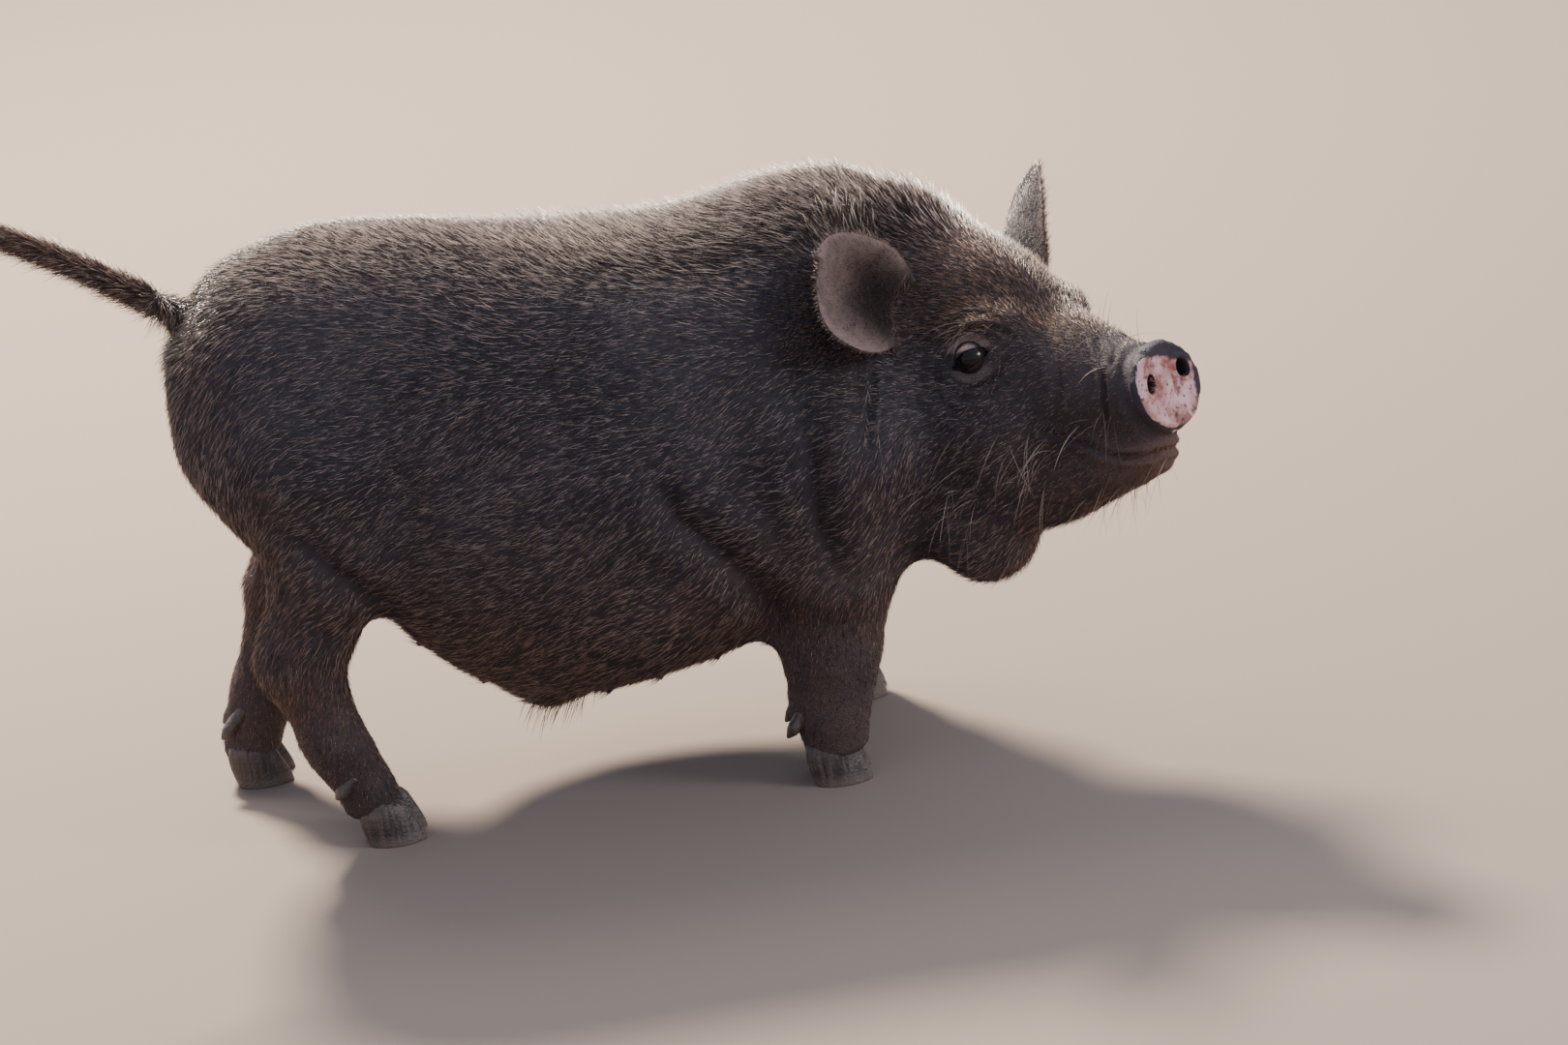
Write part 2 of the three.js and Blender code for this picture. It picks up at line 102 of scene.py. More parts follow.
# An ear edge: its width, its share of that at the root, where it is full, where it closes, and how suddenly.
EARS = {
    "right": {"root": (-53, 73, 43), "along": (0.16, 0.83, 0.53), "facing": (0.96, -0.05, -0.22),
              "length": 98, "front": (35, 0.82, 0.4, 1.0, 4, 0.5), "rear": (56, 0.6, 0.6, 0.94, 13, 0.95)},
    "left": {"root": (-67, 63, 40), "along": (0.06, 0.69, 0.72), "facing": (0.3, 0.9, -0.45),
             "length": 103, "front": (46, 0.95, 0.3, 1.0, 1, 0.55), "rear": (45, 0.82, 0.4, 1.0, 2.3, 0.65)},
}
EAR_WIDTH, EAR_CUP, EAR_AROUND, EAR_BEHIND = 46.0, 18.0, 64, 50
TAIL, TAIL_ABOVE = ((-96, 0, 410), (-205, 4, 494), (-300, 14, 526)), 400

# ---- Camera, floor and light ----

CAMERA_TILT, CAMERA_ROLL = math.radians(20), math.radians(8)
CAMERA_DISTANCE, CAMERA_WIDTH, CAMERA_SENSOR = 5.0, 1.215, 36
CAMERA_AIM = (331, 0, 181)


def linked(name, data):
    """A new object in the scene."""
    thing = bpy.data.objects.new(name, data)
    bpy.context.collection.objects.link(thing)
    return thing


def make_camera():
    tilt, roll = CAMERA_TILT, CAMERA_ROLL
    target = Vector((np.array(CAMERA_AIM) + OFFSET) / 1000)
    back = Vector((0, -math.cos(tilt), math.sin(tilt)))
    rise = Vector((0, math.sin(tilt), math.cos(tilt)))
    right = Vector((math.cos(roll), 0, 0)) - rise * math.sin(roll)
    up = Vector((math.sin(roll), 0, 0)) + rise * math.cos(roll)
    data = bpy.data.cameras.new("camera")
    data.sensor_width = CAMERA_SENSOR
    data.lens = CAMERA_SENSOR * CAMERA_DISTANCE / CAMERA_WIDTH
    data.clip_end = 100
    camera = linked("camera", data)
    camera.matrix_world = Matrix.Translation(target + back * CAMERA_DISTANCE) @ Matrix(
        (right, up, back)).transposed().to_4x4()
    bpy.context.scene.camera = camera


def make_lamp(name, place, aim, size, watts, colour):
    data = bpy.data.lights.new(name, "AREA")
    data.shape = "DISK"
    data.size = size
    data.energy = watts
    data.color = colour
    lamp = linked(name, data)
    lamp.location = place
    lamp.rotation_euler = (Vector(aim) - Vector(place)).to_track_quat("-Z", "Y").to_euler()


FLOOR_HALF_WIDTH = 9
FLOOR_COLOUR = (0.230, 0.176, 0.138, 1)
SKY_COLOUR = (0.72, 0.78, 1.0, 1)


def make_studio():
    mesh = bpy.data.meshes.new("floor")
    edge = FLOOR_HALF_WIDTH
    corners = [(-edge, -edge, 0), (edge, -edge, 0), (edge, edge, 0), (-edge, edge, 0)]
    mesh.from_pydata(corners, [], [(0, 1, 2, 3)])
    floor = linked("floor", mesh)
    paint = bpy.data.materials.new("floor_paint")
    paint.use_nodes = True
    shader = paint.node_tree.nodes["Principled BSDF"]
    shader.inputs["Base Color"].default_value = FLOOR_COLOUR
    shader.inputs["Roughness"].default_value = 0.9
    mesh.materials.append(paint)
    world = bpy.data.worlds.new("studio")
    world.use_nodes = True
    sky = world.node_tree.nodes["Background"].inputs
    sky["Color"].default_value = SKY_COLOUR
    sky["Strength"].default_value = 1.0
    bpy.context.scene.world = world
    make_lamp("key", (-0.7, 2.6, 2.9), (0.05, 0, 0.3), 0.7, 620, (1.0, 0.90, 0.78))
    make_lamp("top", (-0.8, 1.3, 2.9), (0, 0, 0.3), 1.2, 40, (1.0, 0.97, 0.92))
    make_lamp("fill", (2.9, -1.7, 1.9), (0.1, 0, 0.25), 1.0, 62, (0.90, 0.94, 1.0))


# ---- Mesh tools ----


def read(items, key, width, kind=np.float32):
    """One value of every item of a mesh, as the rows of an array."""
    flat = np.empty(len(items) * width, kind)
    items.foreach_get(key, flat)
    return flat.reshape(-1, width)


def points_of(mesh):
    return read(mesh.vertices, "co", 3).astype(float) * 1000 - OFFSET


def place_points(mesh, points):
    mesh.vertices.foreach_set("co", ((points + OFFSET) / 1000).astype(np.float32).ravel())
    mesh.update()


@contextlib.contextmanager
def opened(mesh):
    """The mesh as a bmesh, written back when the block ends."""
    form = bmesh.new()
    form.from_mesh(mesh)
    yield form
    form.to_mesh(mesh)
    form.free()
    mesh.update()


def edges_of(mesh):
    return read(mesh.edges, "vertices", 2, np.int32)


def normals_of(mesh):
    return read(mesh.vertices, "normal", 3).astype(float)


def averaged(values, edges):
    a, b = edges[:, 0], edges[:, 1]
    count = np.maximum(np.bincount(edges.ravel(), minlength=len(values)), 1)
    if values.ndim == 1:
        return (np.bincount(a, values[b], len(values)) + np.bincount(b, values[a], len(values))) / count
    return np.stack([averaged(values[:, n], edges) for n in range(values.shape[1])], axis=1)


def relax(points, edges, rounds, amount, keep_size=True):
    """Smooths points over their edges. With keep_size each smoothing step is followed by one that undoes its
    shrinking."""
    amount = np.broadcast_to(np.asarray(amount, float), (len(points),))[:, None]
    for _ in range(rounds):
        points = points + 0.6 * amount * (averaged(points, edges) - points)
        if keep_size:
            points = points - 0.62 * amount * (averaged(points, edges) - points)
    return points


def smooth(mesh, rounds, amount, keep_size=True):
    place_points(mesh, relax(points_of(mesh), edges_of(mesh), rounds, amount, keep_size))


def smooth_step(values, low, high):
    t = np.clip((values - low) / (high - low), 0, 1)
    return t * t * (3 - 2 * t)


def curve_through(path, count=28):
    """Points evenly along a smooth curve through a short path."""
    path = np.asarray(path, float)
    ends = np.vstack([2 * path[0] - path[1], path, 2 * path[-1] - path[-2]])
    out = []
    for i in range(len(path) - 1):
        p0, p1, p2, p3 = ends[i:i + 4]
        for t in np.linspace(0, 1, count, endpoint=False):
            out.append(0.5 * (2 * p1 + (p2 - p0) * t + (2 * p0 - 5 * p1 + 4 * p2 - p3) * t * t
                              + (3 * p1 - p0 - 3 * p2 + p3) * t ** 3))
    out.append(path[-1])
    out = np.array(out)
    steps = np.concatenate([[0], np.cumsum(np.linalg.norm(np.diff(out, axis=0), axis=1))])
    even = np.linspace(0, steps[-1], count)
    return np.stack([np.interp(even, steps, out[:, n]) for n in range(3)], axis=1)


WELD = 1e-6


def mesh_from(name, points, faces):
    mesh = bpy.data.meshes.new(name)
    mesh.from_pydata([tuple(p) for p in (np.asarray(points) + OFFSET) / 1000], [], faces)
    mesh.update()
    return mesh


def object_from(name, mesh, slot, *materials):
    piece = linked(name, mesh)
    for material in materials:
        mesh.materials.append(material)
    mesh.polygons.foreach_set("use_smooth", [True] * len(mesh.polygons))
    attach(piece, "root")
    return piece


def settled(piece):
    """The piece's mesh with its modifiers made real and removed."""
    graph = bpy.context.evaluated_depsgraph_get()
    mesh = bpy.data.meshes.new_from_object(piece.evaluated_get(graph))
    piece.modifiers.clear()
    return mesh


def loft(rings):
    """A closed skin through rings of equal length, with a cap of triangles at each end."""
    count = len(rings[0])
    points = np.vstack(list(rings) + [np.mean(rings[0], axis=0), np.mean(rings[-1], axis=0)])
    faces = []
    for r in range(len(rings) - 1):
        for i in range(count):
            j = (i + 1) % count
            faces.append((r * count + i, r * count + j, (r + 1) * count + j, (r + 1) * count + i))
    first, last = len(points) - 2, len(points) - 1
    top = (len(rings) - 1) * count
    for i in range(count):
        j = (i + 1) % count
        faces.append((first, j, i))
        faces.append((last, top + i, top + j))
    return points, faces


def lofted(name, rings):
    """A closed mesh through rings of points, its faces turned outwards."""
    mesh = mesh_from(name, *loft(rings))
    with opened(mesh) as form:
        bmesh.ops.remove_doubles(form, verts=form.verts, dist=WELD)
        bmesh.ops.recalc_face_normals(form, faces=form.faces)
    return mesh


def around(count):
    """Angles evenly round a ring, as a column."""
    return np.linspace(0, 2 * math.pi, count, endpoint=False)[:, None]


# ---- The skin ----

TRUNK_NODES = ["trunk", "neck", "head", "jaw", "snout"] + [
    f"{leg}_{length}" for leg in LEGS for length in ("upper", "lower")]
LEAF_NODES = ["ear_right", "ear_left", "tail_root", "tail_middle", "tail_tip"]

# In metres: how far each node swells so that neighbours meet, and the cell size of the joined skin.
NODE_SWELL, NODE_WELD, SKIN_CELL = 0.0006, 1e-5, 0.0058


def joined_flesh():
    """Copies of the flesh nodes, each swollen until it meets its neighbours, as one remeshed skin."""
    form = bmesh.new()
    for node in TRUNK_NODES + ["eye_right", "eye_left"]:
        part = bmesh.new()
        part.from_mesh(cad_mesh(node))
        bmesh.ops.remove_doubles(part, verts=part.verts, dist=NODE_WELD)
        part.normal_update()
        for corner in part.verts:
            corner.co += corner.normal * NODE_SWELL
        copy = bpy.data.meshes.new("flesh_part")
        part.to_mesh(copy)
        part.free()
        form.from_mesh(copy)
        bpy.data.meshes.remove(copy)
    mesh = bpy.data.meshes.new("flesh")
    form.to_mesh(mesh)
    form.free()
    piece = linked("flesh", mesh)
    remesh = piece.modifiers.new("remesh", "REMESH")
    remesh.mode = "VOXEL"
    remesh.voxel_size = SKIN_CELL
    skin = settled(piece)
    bpy.data.objects.remove(piece)
    return skin


def cad_mesh(node):
    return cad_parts[node].data


def nearest_node_mask(points, weights):
    """The weight of the CAD node whose corners are nearest to each point."""
    spots, values = [], []
    for node, weight in weights.items():
        corners = points_of(cad_mesh(node))
        spots.append(corners)
        values.append(np.full(len(corners), weight))
    spots, values = np.vstack(spots), np.concatenate(values)
    tree = KDTree(len(spots))
    for i, spot in enumerate(spots):
        tree.insert(spot, i)
    tree.balance()
    return np.array([values[tree.find(p)[1]] for p in points])


def refine(mesh, chosen):
    """Splits every edge whose two ends are chosen."""
    with opened(mesh) as form:
        form.verts.ensure_lookup_table()
        edges = [e for e in form.edges if chosen[e.verts[0].index] and chosen[e.verts[1].index]]
        bmesh.ops.subdivide_edges(form, edges=edges, cuts=1, use_grid_fill=True)


def ear_place(name):
    """An ear's root in the head's frame, and the ways it faces, across it and along it."""
    flip = np.array([1, SIDES[name], 1])
    along = unit(np.array(EARS[name]["along"]) * flip)
    across = unit(np.cross(along, np.array(EARS[name]["facing"]) * flip))
    return np.array(EARS[name]["root"]) * flip, np.cross(across, along), across, along


def ear_coordinates(head, name):
    """Places in the head's frame as the share of an ear's length, the way across it and the way it faces."""
    root, facing, across, along = ear_place(name)
    place = head - root
    return place @ along / EARS[name]["length"], place @ across, place @ facing


def ear_reach(up, aside, name):
    """Half the width of an ear at each place, on the side where the place lies."""
    front, rear = (ear_edge(EARS[name][key], np.clip(up, 0, 1)) for key in ("front", "rear"))
    return np.where(aside * SIDES[name] < 0, front, rear)


def near_ear(aside, depth):
    return (np.abs(aside) < EAR_AROUND) * (np.abs(depth) < EAR_BEHIND)


def ear_cup(up, aside):
    return EAR_CUP * (aside / EAR_WIDTH) ** 2 * (1.5 - up)


def on_leaf(up, aside, depth, name):
    """1 on the thin leaf of an ear, 0 on the head and neck behind it."""
    cup = ear_cup(np.clip(up, 0, 1), aside)
    past = np.abs(aside) - ear_reach(up, aside, name)
    leaf = smooth_step(np.abs(depth - cup), 13, 9) * smooth_step(past, 6, 3) * smooth_step(up, -0.02, 0.06)
    return leaf * (up < 1.06)


NOSTRIL = {"rise": {-1: -62.0, 1: -57.0}, "aside": 19.5, "slant": 0.25, "half_width": 5.4, "half_height": 6.8}


def nostril_reach(l, u, side):
    """Distance from the middle of a nostril, as a share of its size."""
    above = u - NOSTRIL["rise"][side]
    across = (l - side * NOSTRIL["aside"] + side * NOSTRIL["slant"] * above) / NOSTRIL["half_width"]
    return np.hypot(across, above / NOSTRIL["half_height"])


def ear_edge(edge, t):
    """Half the width of an ear, on one side of its middle line, at a share t of its length."""
    width, base, full, end, power, blunt = edge
    fan = base + (1 - base) * np.sin(math.pi / 2 * np.clip(t / full, 0, 1))
    return np.maximum(width * fan * (1 - np.clip(t / end, 0, 1) ** power) ** blunt, 2.0)


# The leaf of an ear starts below its root and ends just short of its length.
EAR_SUNK, EAR_RUN = -0.14, 1.135


def ear_mesh(name):
    """A cupped leaf with a thin rolled rim, sunk at its root."""
    root, facing, across, along = ear_place(name)
    shape, side = EARS[name], SIDES[name]
    rings = []
    steps, halves = 40, 21
    for i in range(steps + 1):
        t = EAR_SUNK + EAR_RUN * i / steps
        up = max(t, 0)
        reach = {key: float(ear_edge(shape[key], up)) for key in ("front", "rear")}
        ring = []
        for face, order in ((1, range(halves)), (-1, reversed(range(halves)))):
            for k in order:
                s = -math.cos(math.pi * (k + 0.5) / halves)
                aside = s * reach["front" if s * side < 0 else "rear"]
                cup = ear_cup(up, aside)
                roll = 2.2 * smooth_step(np.array(abs(s)), 0.8, 1.0) * (1 - 0.4 * up)
                wall = (4.0 - 2.3 * up) * (1 - 0.55 * abs(s) ** 3) * (1 - s * s) ** 0.25
                hollow = 2.4 * math.exp(-((up - 0.18) / 0.3) ** 2 - ((s + 0.1 * side) / 0.45) ** 2)
                ripple = 0.9 * math.sin(9 * up + 4 * s) * up
                ring.append(root + facing * (cup - roll + ripple - hollow + face * wall) + across * aside
                            + along * shape["length"] * t)
        rings.append(from_head(np.array(ring)))
    return lofted(f"ear_{name}_leaf", rings)


def tail_point(t):
    """A place at a share t of the tail's length, on one even bend."""
    a, b, c = (np.array(p, float) for p in TAIL)
    return (1 - t) ** 2 * a + 2 * t * (1 - t) * b + t * t * c


def tail_mesh():
    rings = []
    for t in np.linspace(-0.06, 0.985, 60):
        along = unit(tail_point(t + 0.01) - tail_point(t - 0.01))
        across = unit(np.cross((0, 1, 0), along))
        aside = np.cross(along, across)
        radius = 9.2 - 5.6 * max(t, 0) ** 0.8 + 3.5 * max(0.08 - t, 0) / 0.08
        radius *= 1 + 0.03 * math.sin(t * 90)
        if t > 0.96:
            radius *= max(1 - (t - 0.96) / 0.025, 0.15) ** 0.5
        turns = around(16)
        rings.append(tail_point(t) + radius * (np.cos(turns) * across + np.sin(turns) * aside))
    return lofted("tail_core", rings)


SEAM_MARGIN, SEAM_WIDTH = 25, 7


def united(mesh, other):
    """The skin and a leaf joined as one closed skin, smooth where they meet."""
    hosts = [linked("skin_part", mesh), linked("leaf_part", other)]
    trees = [BVHTree.FromPolygons([v.co for v in part.vertices], [tuple(p.vertices) for p in part.polygons])
             for part in (mesh, other)]
    join = hosts[0].modifiers.new("join", "BOOLEAN")
    join.operation = "UNION"
    join.solver = "MANIFOLD"
    join.object = hosts[1]
    result = settled(hosts[0])
    for host in hosts:
        bpy.data.objects.remove(host)
    with opened(result) as form:
        bmesh.ops.triangulate(form, faces=[face for face in form.faces if len(face.verts) > 4])
    points, leaf = points_of(result), points_of(other)
    low, high = leaf.min(axis=0) - SEAM_MARGIN, leaf.max(axis=0) + SEAM_MARGIN
    seam = np.zeros(len(points))
    for i in np.nonzero(np.all((points > low) & (points < high), axis=1))[0]:
        spot = result.vertices[int(i)].co
        apart = max(tree.find_nearest(spot)[3] * 1000 for tree in trees)
        seam[i] = 1 - min(apart / SEAM_WIDTH, 1)
    edges = edges_of(result)
    for _ in range(3):
        seam = np.maximum(seam, averaged(seam, edges))
    smooth(result, 7, seam, keep_size=False)
    return result


def swell(points, normals, centre, radii, height):
    """Raises the skin over a round area: a muscle, a joint or a pad of fat."""
    reach = distance((points - centre) / np.array(radii), 0)
    return points + normals * (height * np.exp(-reach ** 2 * 1.6))[:, None]


def crease(points, normals, path, depth, width, lip=0.0, taper=0.5):
    """Sinks a groove along a path that is first laid on the skin, with a soft ridge on both sides."""
    line = curve_through(path)
    margin = 5 * width + 20
    inside = (points > line.min(axis=0) - margin) & (points < line.max(axis=0) + margin)
    index = np.nonzero(np.all(inside, axis=1))[0]
    if not len(index):
        return points
    local = points[index]
    laid = np.array([local[np.argmin(distance(local, p))] for p in line])
    laid[1:-1] = (laid[:-2] + laid[1:-1] + laid[2:]) / 3
    best = np.full(len(index), 1e9)
    place = np.zeros(len(index))
    for i in range(len(laid) - 1):
        a, run = laid[i], laid[i + 1] - laid[i]
        t = np.clip(((local - a) @ run) / max(run @ run, 1e-9), 0, 1)
        apart = np.linalg.norm(local - a - t[:, None] * run, axis=1)
        closer = apart < best
        best = np.where(closer, apart, best)
        place = np.where(closer, (i + t) / (len(laid) - 1), place)
    strength = np.clip(np.sin(math.pi * np.clip(place, 0.02, 0.98)), 0, 1) ** taper
    shape = -depth * np.exp(-(best / width) ** 2) + lip * np.exp(-((best - 2 * width) / width) ** 2)
    moved = points.copy()
    moved[index] += normals[index] * (strength * shape)[:, None]
    return moved


def mirrored(path):
    return [(f, -l, u) for f, l, u in path]


def eye_frame(name):
    """An eye's middle in the head's frame, and the ways along its lids, up across them and outwards."""
    flip = np.array([1, SIDES[name], 1])
    out = unit(EYE_OUT * flip)
    along = EYE_ALONG * flip
    along = unit(along - out * (along @ out))
    up = np.cross(out, along)
    return np.array(EYE_CENTRES[name]), along, up if up[2] > 0 else -up, out


LID_REACH, LID_SLANT = (40, 34), 0.36
HALF_OPENING, UPPER_OPENING, LOWER_OPENING = 16.5, 5.8, 7.4


def with_lids(points, name):
    """Opens the skin over an eye and wraps both lids round the ball."""
    centre, along, up, out = eye_frame(name)
    head = to_head(points) - centre
    a, b, c = head @ along, head @ up, head @ out
    around_eye = (np.abs(a) < LID_REACH[0]) & (np.abs(b) < LID_REACH[1]) & (c > -12)
    slope = b + 1.4 - LID_SLANT * a
    lift = np.where(slope > 0, UPPER_OPENING, LOWER_OPENING)
    reach = np.abs((a - 1.0) / HALF_OPENING) ** 1.9 + np.abs(slope / lift)
    flat = np.clip(np.hypot(a, b), 0, EYE_RADIUS * 0.985)
    ball = np.sqrt(EYE_RADIUS ** 2 - flat ** 2)
    rim = np.maximum(ball, 3.5) + np.where(b > 0, 1.9, 1.5)
    behind = np.maximum(ball, 2.0) - 3.5
    outside = smooth_step(reach, 1.6, 3.4)
    lid = rim * (1 - outside) + c * outside
    inside = smooth_step(reach, 1.08, 0.92)
    target = lid * (1 - inside) + behind * inside
    moved = points.copy()
    fading = smooth_step(np.hypot(a / LID_REACH[0], b / LID_REACH[1]), 1.0, 0.7)
    shift = np.where(around_eye, target - c, 0.0) * fading
    return moved + (shift[:, None] * out) @ HEAD_TURN.T


def with_snout_disc(points):
    """The flat rooting disc: a firm rim, a dished face, two nostrils and a notch below."""
    head = to_head(points)
    f, l, u = head.T
    rise = u - SNOUT["down"]
    reach = np.hypot(l / SNOUT["half_width"], rise / SNOUT["half_height"])
    front = smooth_step(f, SNOUT["forward"] - 9, SNOUT["forward"] - 4)
    push = 1.6 * np.exp(-((reach - 0.9) / 0.09) ** 2) - 1.6 * smooth_step(reach, 0.8, 0.3)
    push -= 3.0 * np.exp(-(l / 3.2) ** 2 - ((rise + 34) / 7) ** 2)
    push += 1.5 * np.exp(-(l / 5) ** 2 - ((rise - 2) / 14) ** 2)
    for side in (-1, 1):
        hole = nostril_reach(l, u, side)
        push += 1.3 * np.exp(-((hole - 1.45) / 0.28) ** 2) - 15 * smooth_step(hole, 1.12, 0.62)
    behind = smooth_step(f, 123, 116) * smooth_step(f, 104, 112)
    inwards = 2.6 * behind * smooth_step(reach, 0.6, 0.9)
    radial = unit(np.stack([np.zeros_like(l), l, rise], axis=1))
    forwards = np.outer(push * front, (1, 0, 0))
    return from_head(head + forwards - radial * inwards[:, None])


# Folds of the head in its own frame, right side: path, depth, width, lip.
HEAD_FOLDS = [
    ([(-18, -68, -4), (-9, -62, 8), (8, -57, 11), (22, -50, 6), (36, -44, -6)], 3.2, 2.0, 1.9),
    ([(-24, -67, 6), (-12, -60, 19), (10, -54, 21), (30, -48, 12)], 2.2, 2.8, 1.4),
    ([(-19, -70, -20), (-10, -69, -28), (3, -66, -32), (15, -58, -28), (26, -50, -17)], 3.0, 2.3, 2.2),
    ([(-24, -72, -20), (-13, -71, -35), (4, -67, -41), (20, -57, -36)], 1.2, 3.4, 0.9),
    ([(96, -30, -42), (95, -35, -60), (88, -35, -80), (80, -36, -92)], 3.4, 2.2, 1.8),
    ([(70, -22, -16), (80, -29, -31), (84, -35, -49), (80, -37, -66)], 0.9, 3.4, 0.7),
    ([(84, -14, -20), (92, -22, -30), (97, -29, -42)], 0.9, 2.8, 0.6),
    ([(98, -10, -34), (101, -20, -38), (103, -27, -46)], 1.4, 2.2, 1.0),
    ([(46, -30, -6), (56, -34, -24), (58, -38, -46), (50, -42, -66)], 0.8, 4.2, 0.6),
    ([(-50, -104, 6), (-50, -119, -20), (-53, -130, -45), (-56, -136, -66)], 4.4, 2.8, 1.8),
    ([(30, -52, -68), (22, -58, -88), (8, -60, -108), (-12, -60, -128)], 1.8, 6.5, 1.0),
    ([(-28, -74, -34), (-14, -74, -48), (6, -69, -54)], 1.3, 4.5, 0.8),
]
MOUTH = [(36, -44, -76), (44, -43, -84), (56, -38, -95), (72, -34, -105), (90, -28, -112), (104, -14, -113),
         (107, 0, -113)]

# Folds of the body in the pig's frame, right side: path, depth, width, lip.
BODY_FOLDS = [
    ([(356, -148, 330), (358, -158, 270), (362, -146, 206), (372, -132, 176)], 8.5, 11, 3.2),
    ([(240, -163, 294), (254, -165, 258), (276, -161, 226), (302, -146, 186), (320, -118, 132)],
     9.0, 12, 4.0),
    ([(-40, -135, 286), (-25, -141, 262), (-9, -143, 242), (10, -139, 220), (24, -120, 196)], 8.5, 11, 3.6),
    ([(300, -150, 330), (312, -148, 270), (330, -140, 214)], 2.2, 15, 1.2),
    ([(40, -150, 330), (52, -152, 280), (66, -146, 226)], 1.8, 18, 1.0),
]
BODY_FORMS = [
    ((330, 120, 300), (70, 60, 80), 5.0),
    ((-30, 118, 330), (80, 50, 80), 4.0),
    ((230, 120, 150), (110, 60, 60), 3.0),
    ((352, 92, 118), (30, 40, 22), 2.5),
    ((-58, 84, 150), (26, 34, 26), 3.0),
]


# The rows of teats: how far forward each pair stands and how far from the middle line.
TEATS = [(42, 34), (86, 36), (128, 44), (176, 44), (222, 42), (266, 38)]
UNDERSIDE = 200


def with_teats(mesh, points):
    """Small soft nipples in two rows under the belly."""
    for x, aside in TEATS:
        for side in (-1, 1):
            below = np.hypot(points[:, 0] - x, points[:, 1] - side * aside)
            below = below + 1000 * (points[:, 2] > UNDERSIDE)
            apart = distance(points, points[int(np.argmin(below))])
            height = 5.5 * np.exp(-(apart / 4.6) ** 2) + 1.5 * np.exp(-(apart / 9.0) ** 2)
            points = points + normals_of(mesh) * height[:, None]
    return points


def sculpt(mesh):
    """Adds the forms that are too small for the solids: teats, muscles, folds, mouth, lids and snout disc."""
    points = with_teats(mesh, points_of(mesh))
    place_points(mesh, points)
    for centre, radii, height in BODY_FORMS:
        for side in (-1, 1):
            points = swell(points, normals_of(mesh), np.array(centre) * (1, side, 1), radii, height)
    place_points(mesh, points)
    for folds, placed in ((BODY_FOLDS, np.array), (HEAD_FOLDS, from_head)):
        for path, *sizes in folds:
            for laid in (path, mirrored(path)):
                points = crease(points, normals_of(mesh), placed(laid), *sizes)
        place_points(mesh, points)
    lips = from_head(MOUTH + mirrored(MOUTH)[-2::-1])
    points = crease(points, normals_of(mesh), lips, 4.5, 2.6, 2.2, taper=0.25)
    for name in SIDES:
        points = with_lids(points, name)
    place_points(mesh, with_snout_disc(points))


COAT_DEPTH = 3.2
# How far each node's facets are smoothed away.
SOFTNESS = {"trunk": 1.0, "neck": 1.0, "head": 0.75, "jaw": 0.6, "snout": 0.25, "upper": 0.8, "lower": 0.55}
JOWLS = (-30, 0, -140)


def made_skin():
    """The whole skin as one closed mesh."""
    mesh = joined_flesh()
    points, edges = points_of(mesh), edges_of(mesh)
    amount = nearest_node_mask(points, {node: SOFTNESS[node.split("_")[-1]] for node in TRUNK_NODES})
    for _ in range(8):
        amount = averaged(amount, edges)
    points = relax(points, edges, 36, amount)
    place_points(mesh, points)

    # The skin lies inside the coat, least on the face and feet.
    head = to_head(points)
    face = smooth_step(head[:, 0], -60, 40)
    foot = smooth_step(points[:, 2], 150, 60)
    depth = COAT_DEPTH * (1 - 0.7 * face) * (1 - 0.7 * foot)
    depth[head[:, 0] > 100] = 0
    points = points - normals_of(mesh) * depth[:, None]
    # The foot's skin hangs over the top of the hooves.
    points[:, 2] -= 5 * smooth_step(points[:, 2], 44, 26) * (points[:, 2] < 60)
    place_points(mesh, points)

    head = to_head(points)
    refine(mesh, (head[:, 0] > -75) & (head[:, 2] > -200))
    smooth(mesh, 3, smooth_step(to_head(points_of(mesh))[:, 0], -85, -60))

    # The fat of the jowls hangs without an edge.
    hanging = smooth_step(distance(to_head(points_of(mesh)), JOWLS), 105, 70)
    smooth(mesh, 12, hanging, keep_size=False)

    for name in SIDES:
        mesh = united(mesh, ear_mesh(name))
    mesh = united(mesh, tail_mesh())

    # Fine skin round the eyes, the mouth and the snout.
    for snout_from, eye_reach in ((84, 40), (112, 24)):
        head = to_head(points_of(mesh))
        fine = (head[:, 0] > snout_from) & (np.abs(head[:, 1]) < 70)
        for centre in EYE_CENTRES.values():
            fine |= distance(head, centre) < eye_reach
        refine(mesh, fine)
        smooth(mesh, 2, 0.6)
    sculpt(mesh)
    return mesh


# ---- Where each marking lies ----

# Marks for the shaders: one paints shade into hollows, nostrils, eye rims and ear backs; one paints light
# through the ears' inner faces; the lid mark also paints a highlight along the ears' rims.
MARKS = ("pink", "lips", "lining", "hollow", "lid", "warm")


